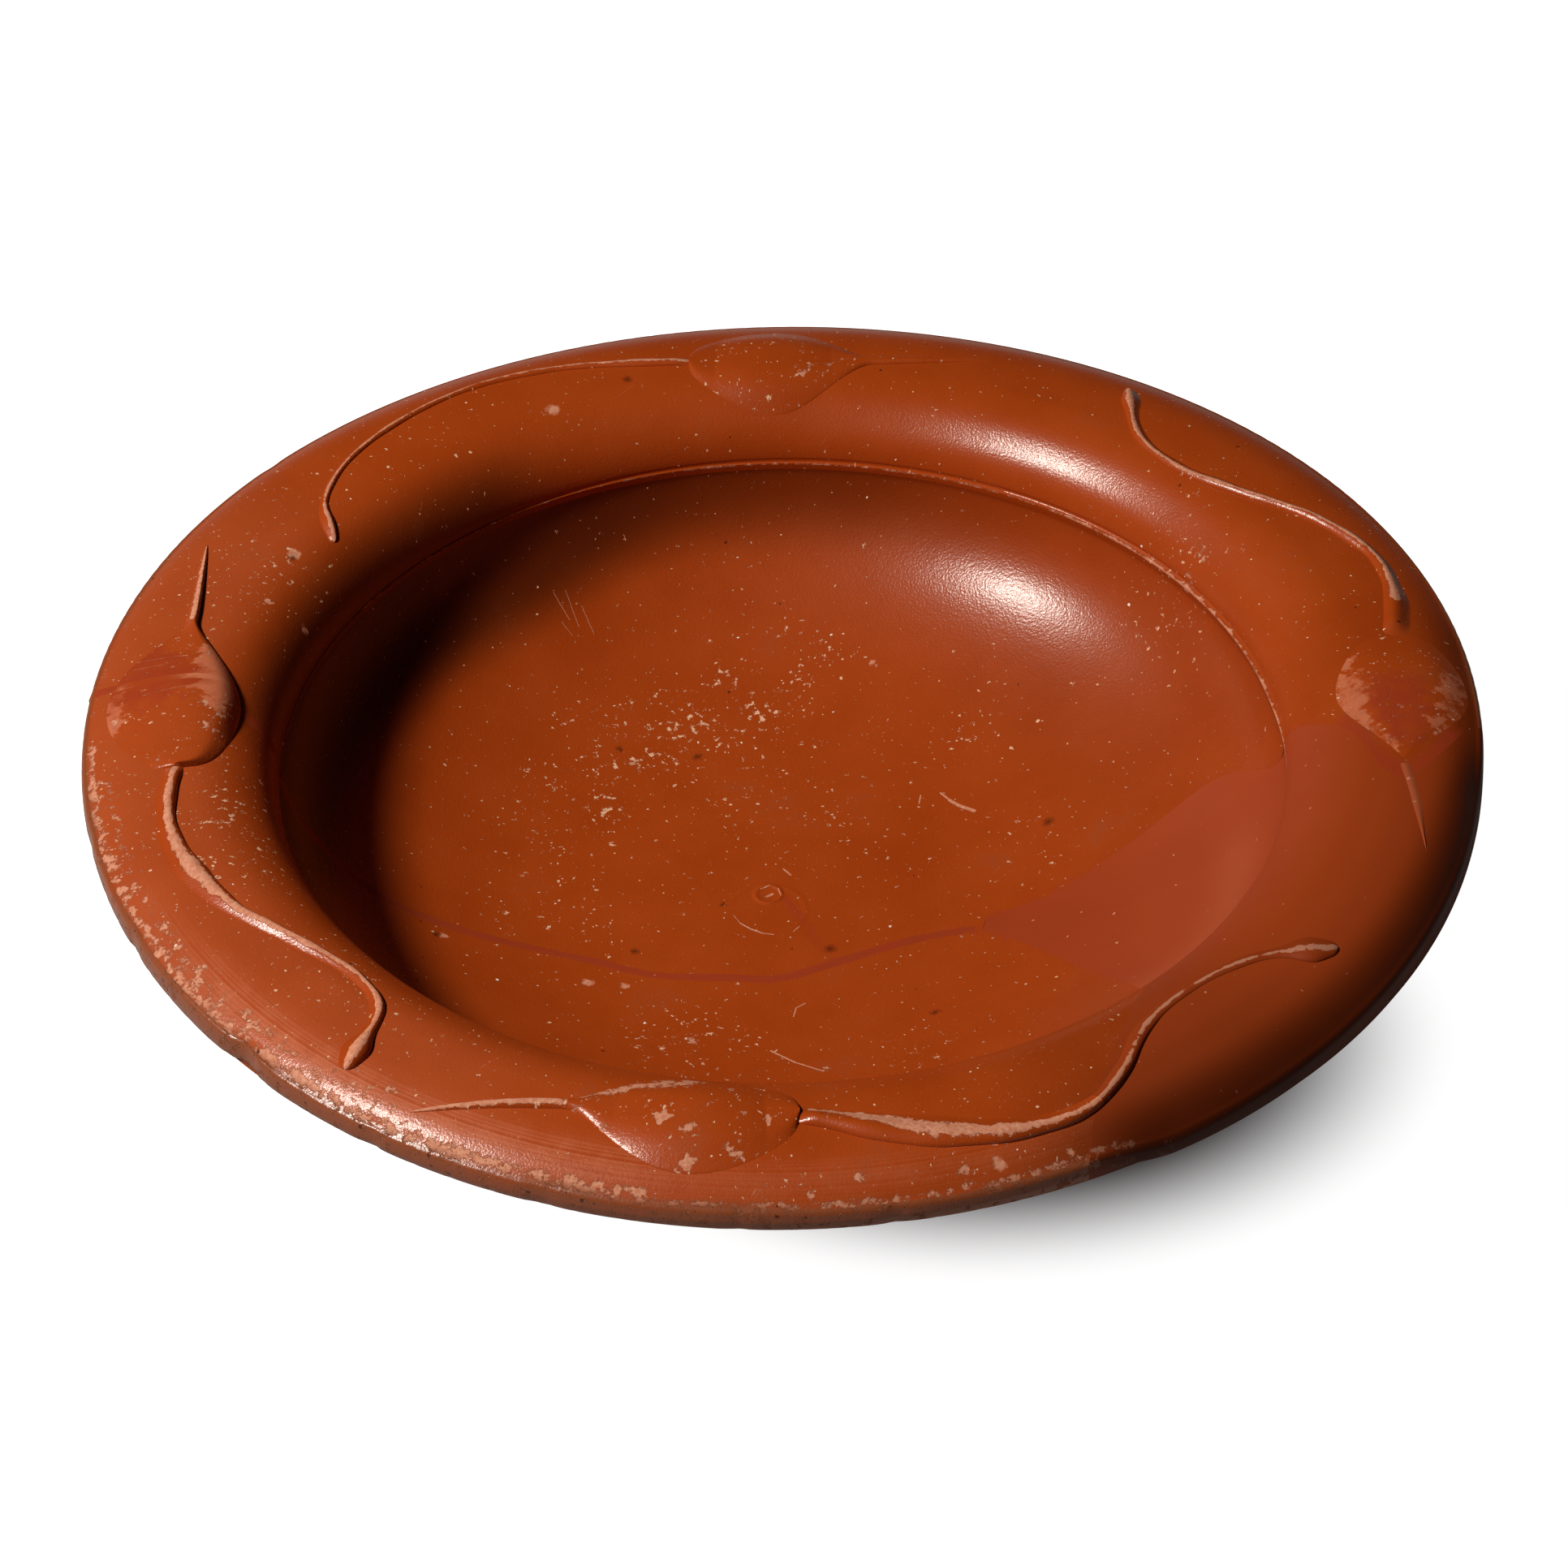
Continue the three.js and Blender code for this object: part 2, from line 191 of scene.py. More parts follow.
# Leaves: the way each leans, towards the left of its path when positive, how high it stands, how
# blunt its heel is, how firm its edges are at both ends, how square its steep flank is, how far
# its crest stands aside, and how worn its tail is
LEAVES = {
    "front": {"lean": 0.5, "rise": 1.05, "heel": 0.52, "firm": (0.4, 0.8), "square": 3,
              "crest": 0.35, "tail": 0.9},
    "left": {"lean": -0.7, "rise": 1.5, "heel": 0.42, "firm": (0.6, 1.0), "square": 2,
             "crest": 0.9, "tail": 0.85},
    "back": {"lean": -0.3, "rise": 0.8, "heel": 0.52, "firm": (0.15, 1.0), "square": 4,
             "crest": 0.35, "tail": 0.3},
    "right": {"lean": 0.1, "rise": 0.6, "heel": 0.48, "firm": (0.2, 0.3), "square": 4,
              "crest": 0.35, "tail": 0.0},
}

# Stems: lean, thickness, where and how much each swells, the blob at its end, how pale it is worn,
# how dull it is, and where its pale crest starts and how far that drifts to one side there
STEMS = {
    "front": {"lean": -0.8, "thick": 1.0, "swell_at": 0.2, "swell": 1.0, "blob": 1.0,
              "pale": 0.9, "dull": 0.0, "start": 0.0, "drift": 0.7},
    "left": {"lean": 0.8, "thick": 0.95, "swell_at": 0.32, "swell": 0.6, "blob": 0.75,
             "pale": 1.0, "dull": 0.0, "start": -0.01, "drift": 0.0},
    "back": {"lean": 0.8, "thick": 0.65, "swell_at": 0.1, "swell": 0.2, "blob": 0.4,
             "pale": 0.8, "dull": 0.2, "start": -0.01, "drift": 0.0},
    "right": {"lean": 0.6, "thick": 0.9, "swell_at": 0.06, "swell": 0.4, "blob": 0.4,
              "pale": 0.95, "dull": 0.4, "start": 0.075, "drift": 0.0},
}
RESTORED_PALE = 0.72

# Patches of the leaves, x, y, spread and strength: worn, rubbed and painted over
LEAF_WEAR = {
    # on the front leaf, the rows at -28.5 and -24.8 on its outer edge near the tip are partly worn
    # slip and partly a painted glint
    "front": [
        [-16.9, -86.5, 1.5, 0.78], [-13.7, -93.1, 1.5, 0.78], [-7.3, -91.7, 1.3, 0.74],
        [-13.1, -88.7, 1.3, 0.76], [-2.9, -86.4, 1.0, 0.66], [-28.5, -84.4, 1.6, 0.45],
        [-24.8, -87, 1.6, 0.4], [-15.4, -83.4, 0.8, 0.6], [-10.5, -84.4, 0.7, 0.55],
        [-6.1, -86, 0.7, 0.55], [-7.8, -80.8, 1.4, 0.55],
    ],
    "left": [
        [-82.4, 13.4, 1.6, 0.4], [-81.2, -0.6, 2.6, 0.52], [-82.4, -4.2, 1.5, 0.54],
        [-79.8, -1.4, 1.6, 0.5], [-84.6, 2.6, 1.2, 0.5], [-95.5, 4.2, 0.8, 0.5],
        [-95.3, -0.4, 1.3, 0.6], [-93.9, -4.7, 0.8, 0.56], [-95.9, -3.2, 0.9, 0.56],
        [-91.3, 0.2, 0.7, 0.5], [-88.8, -9.9, 1.0, 0.5],
    ],
    "back": [
        [3.6, 82.2, 1.4, 0.5], [6.1, 83, 1.4, 0.52], [8.9, 84.3, 1.2, 0.5],
        [-9.6, 78.8, 0.7, 0.56],
    ],
    "right": [
        [80.6, 7.8, 1.0, 0.56], [81.4, 0, 1.6, 0.42], [81.4, -4.4, 1.6, 0.5],
        [83.2, -8.2, 1.2, 0.52], [85.6, -10.6, 1.0, 0.5], [89.4, 8.6, 2.6, 0.36],
        [93.8, 9.6, 2.0, 0.36], [96.2, 4.6, 1.4, 0.44], [95.2, -3.2, 1.2, 0.45],
        [92.8, -7.2, 1.0, 0.5],
    ],
}
LEAF_RUB = {
    "left": [
        [-81.8, 13.4, 2.8, 1.1], [-81.4, 10.6, 3.2, 1.15], [-81.1, 7.6, 3.4, 1.15],
        [-81.0, 4.8, 3.4, 1.15], [-80.8, 2.4, 3.0, 1.05], [-95.6, 5.4, 1.6, 0.95],
        [-95.7, 3, 1.9, 1.0], [-95.3, 0.6, 2.1, 1.05], [-95.8, -1.6, 1.9, 1.0],
    ],
    "right": [
        [81, 8, 1.9, 0.85], [80.8, 3.6, 3.0, 0.98], [82.6, 2.2, 2.4, 0.92], [81.2, 0, 3.4, 1.02],
        [81.0, -3.2, 2.8, 0.98], [82.6, -6.8, 2.3, 0.9], [84.8, -9.6, 2.0, 0.85],
        [86.4, -12, 1.8, 0.85], [96.4, 5, 2.4, 0.82], [95.8, 1.4, 2.8, 0.92],
        [95, -2.4, 2.8, 0.92], [93.2, -6.6, 2.2, 0.88],
    ],
}
LEAF_PAINT = {
    "left": [[-92.5, 8, 6, 0.75], [-88, 7, 5.5, 0.75], [-90.5, 11.5, 4.5, 0.7], [-90, 4, 4.0, 0.6]],
    "right": [[87.5, 0, 5, 0.7], [88.5, -4.5, 4.5, 0.75], [88.5, -8.5, 3.5, 0.7]],
}

# Knocks along the lip: azimuth, width in degrees and depth in millimetres
LIP_KNOCKS = [
    [222.5, 3.2, 1.3], [236, 1.5, 0.35], [251, 2.0, 0.3], [206, 1.6, 0.4], [193, 1.4, 0.3],
    [266, 1.3, 0.25], [278, 1.8, 0.3], [140, 1.5, 0.25],
]

# How strong the marks on the body are: 0 is none and 1 the most
LEAST_WEAR = 0.06
LIP_WEAR = 0.38
LEDGE_WEAR = 0.56
LEDGE_WEAR_MORE = 0.24
# painted sheen on the left shoulder, which faces the lamp
SHOULDER_SHEEN = 0.13
BREAK_COVER = 0.6
FILL_COVER = 0.4
FILL_COVER_MORE = 0.5
# painted shade on the roll behind the left leaf, the right wall, the lip, and the rim at the right
# front
ROLL_SHADE = 0.6
RIGHT_WALL_SHADE = 0.13
LIP_SHADE = 0.15
FRONT_RIM_SHADE = 0.17
# painted sheen on the fill's wall, more beside its crease
FILL_SHEEN = 0.04
CREASE_SHEEN = 0.13
LEAST_SPECK = 0.1
RIM_SPECK = 0.1
MOST_SPECK = 0.75

# Bands along the lip where the slip has flaked, and where it is worn paler by rubbing with a
# painted sheen on it: strength, radius, spread, first and last azimuth, and the degrees over which
# the ends fade
LIP_FLAKES = [
    [0.6, 98.6, 1.3, 184, 258, 6], [0.45, 96.4, 2.2, 190, 236, 10], [0.53, 98.9, 0.8, 236, 296, 8],
    [0.26, 96.8, 1.6, 262, 296, 8], [0.36, 98.8, 0.9, 120, 186, 12],
]
LIP_RUBS_AND_SHEEN = [[0.9, 95.6, 2.6, 218, 254, 12], [0.3, 96, 2.5, 212, 295, 15]]

# Stretches of the body round the axis: first and last azimuth, and the degrees over which they fade
FACET = (42, 70, 24)
FRONT_NOSE = (235, 285, 25)
LIP_FLAKED = (190, 300, 15)
LIP_DIRTY = (226, 266, 10)
LEDGE_WORN = (-5, 150, 12)
LEDGE_PALEST = (-2, 40, 25)
# where a sheen is painted on the shoulder
SHOULDER_SHEENED = (155, 236, 20)
RIM_SPECKED = (130, 300, 30)
LEAF_RETOUCHED = (-15, -1, 3)
# where a sheen is painted beside the fill's crease
CREASE_SHEENED = (326, 350, 14)
# where shade is painted: the wall below the mouth, the roll, the right wall, and the rim at the
# right front
WALL_SHADED = (40, 200, 20)
ROLL_SHADED = (128, 172, 14)
RIGHT_SHADED = (-30, 45, 25)
RIM_SHADED = (299, 366, 14)

# Painted shade grows in steps, on the wall by azimuth and on the rim by radius: how much, from
# where and over what length
WALL_SHADE_LEAST = 0.15
WALL_SHADE_STEPS = [[0.35, 50, 36], [0.2, 86, 30], [0.17, 125, 20]]
RIM_SHADE_LEAST = 0.06
RIM_SHADE_STEPS = [[0.1, 86, 5], [0.35, 92, 6]]
RIM_SHADE_TURN = 325

# Where specks crowd and where the slip has chipped: x, y, spread and strength
SPECK_CROWDS = [
    [-22, 33, 9, 0.65], [-8, 41, 10, 0.55], [4, 50, 7, 0.42], [-32, 18, 10, 0.5],
    [-33, -3, 8, 0.42], [-14, -32, 10, 0.5], [4, 18, 16, 0.28], [20, -40, 14, 0.25],
    [36, 9, 8, 0.3], [27, 36, 8, 0.3], [-80, -28, 12, 0.35], [-74, -12, 9, 0.35],
    [-76, 33, 9, 0.3], [60, 42, 8, 0.4], [-60, -55, 12, 0.2],
]
CHIPS = [
    [-22.5, 30.5, 1.3, 0.5], [-5.4, 41.9, 1.4, 0.5], [-25, 41.8, 1.2, 0.45], [-14, -31.8, 1.8, 0.5],
    [5, -40, 1.4, 0.5], [62, 40.4, 2.6, 0.42], [37.5, -90.6, 1.1, 0.52], [28.6, -89.9, 0.7, 0.55],
    [23.1, -94.1, 1.0, 0.52], [9.2, -95.6, 0.9, 0.56], [10.9, -95.1, 0.7, 0.56],
    [2.9, -97.7, 0.9, 0.58], [-58.7, -74.4, 2.0, 0.45], [-53.2, -77.9, 2.0, 0.45],
    [16.5, -94.6, 0.7, 0.5], [31.5, -93.5, 0.7, 0.5],
]

# Single marks on the plan: strokes are two ends and a width, spots a middle and a radius
PALE_STROKES = [
    [23.5, 22.5, 24.8, 20.8, 0.35], [24.8, 20.8, 26.0, 19.6, 0.55], [26.0, 19.6, 28.3, 18.1, 0.6],
    [20.5, 22.3, 20.2, 20.6, 0.22], [-0.2, 6.3, 0.9, 4.9, 0.3], [-7.6, -3.9, -6.6, -5.8, 0.12],
    [-6.6, -5.8, -5.1, -7.1, 0.22], [-5.1, -7.1, -3.4, -8.1, 0.28], [-3.4, -8.1, -1.8, -8.4, 0.2],
    [1.1, -7.8, 2.0, -6.7, 0.16], [-3.6, 1.8, -2.2, 2.5, 0.14], [-1.0, 1.8, -0.6, 0.2, 0.14],
    [-2.7, 0.2, -1.9, 0.7, 0.45], [0.9, -26.5, 1.3, -24.6, 0.22], [1.3, -24.6, 2.6, -23.6, 0.2],
    [-2.4, -34.6, 1.0, -37.6, 0.35], [1.0, -37.6, 5.0, -40.1, 0.28],
    [-34.4, 56.6, -32.0, 53.6, 0.09], [-32.6, 57.4, -30.6, 52.9, 0.08],
    [-30.2, 56.0, -28.4, 52.4, 0.09], [-33.2, 53.0, -31.6, 51.4, 0.08],
]
LEAF_STROKES = [
    [-94.2, 13.1, -85.6, 12.5, 0.14], [-93.4, 11.2, -88.6, 10.8, 0.1],
    [-92.6, 6.8, -84.9, 7.0, 0.12], [-91.7, 4.0, -83.6, 4.6, 0.12],
    [-94.4, 9.3, -90.3, 8.7, 0.1],
]
PALE_SPOTS = [
    [-49.4, -12.9, 0.6], [-28.6, -19.1, 0.7], [-23.3, -19.5, 0.6], [-34.0, 74.3, 0.9],
    [-71.6, 38.6, 0.9], [-69.7, 25.6, 0.6], [-74.8, 27.6, 0.5], [27.0, -89.9, 0.6],
    [27.6, -93.0, 0.8], [13.8, 49.0, 0.5],
]
DARK_SPOTS = [
    [6.4, -11.8, 0.62], [-12.8, 31.9, 0.45], [39.2, 13.7, 0.6], [21.2, -27.0, 0.45],
    [-22.8, 81.6, 0.5], [-71.9, 37.6, 0.4], [-50.4, -12.9, 0.4], [-9.0, -1.4, 0.3],
    [-22, -11.5, 0.4], [-24.5, 32.5, 0.35],
]

# Colours
SLIP = "#9c3d0d"
SLIP_DEEP = "#983a0b"
SLIP_PALE = "#a04011"
# worn slip, also the tone of painted sheen
SLIP_RUBBED_AND_SHEEN = "#b9694a"
# the dark tone of painted shade
SLIP_SHADE_PAINT = "#260800"
CLAY = "#c98d72"
CLAY_PALE = "#d8a888"
CLAY_WHITE = "#ead9cb"
LIP_BROWN = "#7f4429"
SOOT = "#2c1206"
FILL_PAINT = "#963b1a"
FILL_DEEP = "#90371a"
FILL_RIM = "#983c14"
# paler paint, also the tone of painted sheen on the fill's wall
FILL_PALE_AND_SHEEN = "#b86f50"
RETOUCH = "#95361a"
WHITE = (1.0, 1.0, 1.0, 1.0)

# Floor, shade and lamp, in metres and degrees
FLOOR_SIZE = 6.0
FLOOR_BELOW = 0.0002
FLOOR_GREY = (0.45, 0.45, 0.45, 1.0)
SHADE_MIDDLE = (0.029, -0.018, 0.0)
SHADE_STRETCH = (0.758, 1.0, 1.0)
SHADE_INNER = 0.0284
SHADE_OUTER = 0.0527
WORLD_LIGHT = 0.008
LAMP_SIZE = 0.18
LAMP_POWER = 17.8
LAMP_COLOUR = (1.0, 0.94, 0.85)
LAMP_TURN = 196
LAMP_HEIGHT = 50
LAMP_DISTANCE = 1.2
LAMP_TARGET = Vector((0, 0, 0.03))

# Camera, in millimetres and degrees, its focal length as a share of the picture's width
VIEW_DISTANCE = 900.0
VIEW_HEIGHT = 39.33
VIEW_ROLL = -0.993
FOCAL_SHARE = 7706.0 / 1932.0
SENSOR = 36.0
AIM_RIGHT = 0.15
AIM_UP = -3.29


# Plan curves

def plan_points(places):
    """Places of [degrees, across] as x, y: radius grows from the axis to the mouth as across
    goes from -1 to 0, and from the mouth to the lip as it goes from 0 to 1."""
    p = np.asarray(places, float)
    turn = np.radians(p[:, 0])
    out = np.where(p[:, 1] < 0, MOUTH_R * (1 + p[:, 1]), MOUTH_R + p[:, 1] * (RIM_R - MOUTH_R))
    return np.stack([out * np.cos(turn), out * np.sin(turn)], axis=1)


def plan_curve(places, count):
    """Evenly spaced points on a smooth curve through the places: between two places a cubic whose
    end slopes come from the neighbouring places, with knots set by the square root of the gaps."""
    corners = plan_points(places)
    p = np.vstack([2 * corners[0] - corners[1], corners, 2 * corners[-1] - corners[-2]])
    gap = np.sqrt(np.linalg.norm(np.diff(p, axis=0), axis=1))[:, None]
    p0, p1, p2, p3 = p[:-3], p[1:-2], p[2:-1], p[3:]
    g0, g1, g2 = gap[:-2], gap[1:-1], gap[2:]
    m1 = g1 * ((p1 - p0) / g0 - (p2 - p0) / (g0 + g1) + (p2 - p1) / g1)
    m2 = g1 * ((p2 - p1) / g1 - (p3 - p1) / (g1 + g2) + (p3 - p2) / g2)
    u = np.linspace(0, 1, 200, endpoint=False)[None, :, None]
    a, b, c, d = (v[:, None, :] for v in (p1, p2, m1, m2))
    cubic = a + u * c + u ** 2 * (3 * (b - a) - 2 * c - d) + u ** 3 * (2 * (a - b) + c + d)
    points = np.vstack([cubic.reshape(-1, 2), corners[-1:]])
    run = np.concatenate([[0], np.cumsum(np.linalg.norm(np.diff(points, axis=0), axis=1))])
    even = np.linspace(0, run[-1], count)
    return np.stack([np.interp(even, run, points[:, k]) for k in (0, 1)], axis=1)


def polar(points, turns=0):
    """Radius and unbroken azimuth, in degrees, of points on the plan."""
    azimuth = np.degrees(np.unwrap(np.arctan2(points[:, 1], points[:, 0]))) + 360 * turns
    return np.hypot(points[:, 0], points[:, 1]), azimuth


def sideways(path):
    """Unit steps to the left of a path on the plan, from the slope between its points."""
    along = np.gradient(path, axis=0)
    along = along / np.linalg.norm(along, axis=1)[:, None]
    return np.stack([-along[:, 1], along[:, 0]], axis=1)


break_points = plan_curve(BREAK_LINE, EDGE_COUNT)
break_r, break_az = polar(break_points)
break_low = int(np.argmin(break_r))
BREAK_MIN_R = float(break_r[break_low])
fill_back_r, fill_back_az = polar(plan_curve(FILL_BACK_EDGE, EDGE_COUNT), 1)
fill_front_r, fill_front_az = polar(plan_curve(FILL_FRONT_EDGE, EDGE_COUNT), 1)


def left_edge(r):
    """Azimuth of the break at a radius, on the side that runs to the left of the rim."""
    return np.interp(r, break_r[break_low::-1], break_az[break_low::-1])


def left_edge_round(r):
    """The same edge of the break, reached anticlockwise from the fill."""
    return left_edge(r) + 360


def right_edge(r):
    """Azimuth of the break at a radius, on the side that runs to the tip of the fill."""
    return np.interp(r, break_r[break_low:], break_az[break_low:])


def fill_back(r):
    """Azimuth of the fill's back edge at a radius."""
    return np.interp(r, fill_back_r, fill_back_az)


def fill_front(r):
    """Azimuth of the fill's front edge at a radius."""
    return np.interp(r, fill_front_r, fill_front_az)


# Steps and bells

def ease(x):
    """A smooth step from 0 to 1 as x goes from 0 to 1."""
    x = np.clip(x, 0, 1)
    return x * x * (3 - 2 * x)


def steps(x, least, rows):
    """A least value and several smooth steps up from it."""
    return least + sum(much * ease((x - start) / over) for much, start, over in rows)


def hill(x, centre, spread):
    """A bell of height 1 round a centre."""
    return np.exp(-((x - centre) / spread) ** 2)


def turned(angle, centre):
    """Degrees from a centre azimuth, the short way round."""
    return (angle - centre + 180) % 360 - 180


def between(az, first, last, fade):
    """1 between two azimuths, fading over a few degrees at both."""
    middle = (first + last) / 2
    return ease(((last - first) / 2 - np.abs(turned(az, middle))) / fade + 1)


def bands(r, az, rows):
    """The strongest of several bands: each a bell of the radius between two azimuths."""
    return np.max([much * hill(r, middle, spread) * between(az, *stretch)
                   for much, middle, spread, *stretch in rows], axis=0)


def patches(x, y, places):
    """Soft round patches, the strongest at each point: a bell of the distance from each place,
    cut off flat so that its middle is even."""
    return np.max([np.clip(1.5 * hill(np.hypot(x - px, y - py), 0, spread), 0, 1) * much
                   for px, py, spread, much in places], axis=0)


def from_edge(r, az, edge):
    """Distance from an edge of the plan along the circle, in millimetres."""
    return np.abs(turned(az, edge(r))) * np.radians(r)


def within_fill(r, az):
    """Distance inside the fill's nearer side edge, in millimetres."""
    return np.minimum(turned(fill_back(r), az), turned(az, fill_front(r))) * np.radians(r)


# The dish's two faces

def top_height(r):
    """Upper face by radius: a flat floor, a quarter ellipse up to the mouth, a second one over
    the roll to the crest, then a cubic that falls ever faster to the lip."""
    wall = np.clip((r - FLOOR_R) / INSIDE_SPREAD, 0, 1)
    roll = np.clip((CREST_R - r) / (CREST_R - MOUTH_R), 0, 1)
    out = np.clip((r - CREST_R) / (RIM_R - CREST_R), 0, None)
    inside = MOUTH_Z - (MOUTH_Z - FLOOR_Z) * np.sqrt(1 - wall ** 2)
    rolled = MOUTH_Z + (CREST_Z - MOUTH_Z) * np.sqrt(1 - roll ** 2)
    flange = CREST_Z - LIP_DROP * out ** 3
    return np.where(r < MOUTH_R, inside, np.where(r < CREST_R, rolled, flange))


def low_height(r):
    """Underside by radius: a flat base, the outside ellipse of the wall, a quarter circle under
    the rim and a straight underside to the lip."""
    wall = np.clip((r - FLOOR_R) / OUTSIDE_SPREAD, 0, 1)
    outside = MOUTH_Z - (MOUTH_Z - BASE_Z) * np.sqrt(1 - wall ** 2)
    end, end_z = UNDERCUT_START + UNDERCUT_R, UNDERCUT_Z + UNDERCUT_R
    bend = np.clip(end - r, 0, UNDERCUT_R)
    undercut = UNDERCUT_Z + np.sqrt(UNDERCUT_R ** 2 - bend ** 2)
    flat = end_z + (LIP_LOW_Z - end_z) * (r - end) / (RIM_R - end)
    return np.where(r < UNDERCUT_START, outside, np.where(r < end, undercut, flat))


def warp(x, y):
    """The fired rim's slight saddle, growing as the square of the way out from the foot: high at
    both sides, low at front and back."""
    out = np.clip((np.hypot(x, y) - FOOT_R) / (RIM_R - FOOT_R), 0, None)
    return RIM_WARP * out ** 2 * np.cos(2 * np.arctan2(y, x))


def seat(x, y):
    """Point on the rim's upper face over x, y, and its unit normal, from the slope by radius."""
    r = np.hypot(x, y)
    step = 0.02
    slope = (top_height(r + step) - top_height(r - step)) / (2 * step)
    size = np.sqrt(1 + slope ** 2)
    point = np.stack([x, y, top_height(r) + warp(x, y)], axis=-1)
    normal = np.stack([-slope * x / r / size, -slope * y / r / size, 1 / size], axis=-1)
    return point, normal


run_r = np.linspace(0, RIM_R, 4001)
run_steps = np.hypot(np.diff(run_r), np.diff(top_height(run_r)))
run_length = np.concatenate([[0], np.cumsum(run_steps)])


def flat_place(x, y, beyond=0.0):
    """The upper face laid out flat, in metres: each point moved out along its radius to the length
    of the section from the axis to it, and further by what lies beyond the rim."""
    r = np.maximum(np.hypot(x, y), TINY)
    run = np.interp(r, run_r, run_length) + beyond
    return np.stack([x * run / r, y * run / r, 0 * r], axis=-1) * MM


# Meshes

def grid_faces(rows, columns, closed=False):
    """Quads between neighbouring rows and columns of a grid numbered row by row; closed joins
    the last column to the first."""
    last = columns if closed else columns - 1
    i, j = np.meshgrid(np.arange(rows - 1), np.arange(last), indexing="ij")
    k = (j + 1) % columns
    quads = [i * columns + j, (i + 1) * columns + j, (i + 1) * columns + k, i * columns + k]
    return np.stack(quads, axis=-1).reshape(-1, 4).tolist()


def bar_faces(count, ring):
    """Faces of a closed bar of count rings, with a cap at both ends."""
    caps = [list(range(ring)), list(range((count - 1) * ring, count * ring))]
    return grid_faces(count, ring, closed=True) + caps


def zip_faces(upper, upper_r, lower, lower_r, flip):
    """Triangles between two lines of vertices that run outwards: all their points are taken in
    order of radius, and each one closes a triangle with the last point of the other line."""
    r = np.concatenate([upper_r, lower_r])
    is_upper = np.repeat([True, False], [len(upper), len(lower)])
    is_upper = is_upper[np.argsort(r, kind="stable")]
    up = np.cumsum(is_upper) - 1
    low = np.cumsum(~is_upper) - 1
    ready = (up >= 0) & (low >= 0) & (np.where(is_upper, up, low) >= 1)
    up, low, on_top = up[ready], low[ready], is_upper[ready]
    before = np.where(on_top, upper[np.maximum(up - 1, 0)], lower[np.maximum(low - 1, 0)])
    here = np.where(on_top, upper[up], lower[low])
    other = np.where(on_top, lower[low], upper[up])
    turn = on_top ^ flip
    first, second = np.where(turn, before, here), np.where(turn, here, before)
    return np.stack([first, second, other], axis=1).tolist()


def make_piece(name, node, slot, points, faces, marks):
    """One piece: points in millimetres, faces, and marks, the values at its points that its
    finish reads. Doubles at poles and seams are merged and faces turned outwards."""
    mesh = bpy.data.meshes.new(name)
    mesh.from_pydata((points.reshape(-1, 3) * MM).tolist(), [], faces)
    for mark, values in marks.items():
        values = np.asarray(values, np.float32)
        if mark == "flat":
            layer = mesh.attributes.new(mark, "FLOAT_VECTOR", "POINT")
            layer.data.foreach_set("vector", values.ravel())
        else:
            layer = mesh.attributes.new(mark, "FLOAT", "POINT")
            layer.data.foreach_set("value", np.broadcast_to(values, points.shape[:-1]).ravel())
    solid = bmesh.new()
    solid.from_mesh(mesh)
    bmesh.ops.remove_doubles(solid, verts=solid.verts, dist=MERGE_WITHIN)
    bmesh.ops.dissolve_degenerate(solid, edges=solid.edges, dist=DISSOLVE_WITHIN)
    bmesh.ops.recalc_face_normals(solid, faces=solid.faces)
    solid.to_mesh(mesh)
    solid.free()
    mesh.polygons.foreach_set("use_smooth", np.ones(len(mesh.polygons), bool))
    mesh.set_sharp_from_angle(angle=math.radians(SHARP_ANGLE))
    mesh.materials.append(FINISHES[slot])
    piece = bpy.data.objects.new(name, mesh)
    bpy.context.collection.objects.link(piece)
    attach(piece, "root")
    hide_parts(node)


# Materials

def linear(code):
    """An sRGB hex colour as linear red, green, blue and an alpha of 1."""
    srgb = np.array([int(code[i:i + 2], 16) for i in (1, 3, 5)]) / 255
    value = np.where(srgb <= 0.04045, srgb / 12.92, ((srgb + 0.055) / 1.055) ** 2.4)
    return (*value.tolist(), 1.0)


def plug(tree, node, links):
    """Fills a node's sockets from links, each a value or another node's output."""
    for key, value in links.items():
        if isinstance(value, bpy.types.NodeSocket):
            tree.links.new(value, node.inputs[key])
        else:
            node.inputs[key].default_value = value


def add(tree, kind, links=None, out=0, **settings):
    """Adds a node with its settings and links, and returns one of its outputs."""
    node = tree.nodes.new("ShaderNode" + kind)
    for key, value in settings.items():
        setattr(node, key, value)
    plug(tree, node, links or {})
    return node.outputs[out] if len(node.outputs) else node


def every(size):
    """Texture scale at which a pattern repeats about every size millimetres."""
    return 1 / (size * MM)


def new_material(name, marks):
    """A material with its tree and shader, the place on the piece, the face laid flat, and the
    marks that it reads."""
    material = bpy.data.materials.new(name)
    material.use_nodes = True
    tree = material.node_tree
    shader = next(n for n in tree.nodes if n.type == "BSDF_PRINCIPLED")
    place = add(tree, "TexCoord", out="Object")
    flat = add(tree, "Attribute", attribute_name="flat", out="Vector")
    read = [add(tree, "Attribute", attribute_name=mark, out="Fac") for mark in marks]
    return material, tree, shader, place, flat, read


def strongest(tree, *masks):
    """The largest of several masks at each point."""
    found = masks[0]
    for mask in masks[1:]:
        found = add(tree, "Math", {0: found, 1: mask}, operation="MAXIMUM")
    return found


def layered(tree, colour, *layers):
    """A colour with others laid over it in turn, each by its own share."""
    for share, tone in layers:
        lower, upper = (linear(c) if isinstance(c, str) else c for c in (colour, tone))
        colour = add(tree, "Mix", {"Factor": share, 6: lower, 7: upper}, data_type="RGBA", out=2)
    return colour


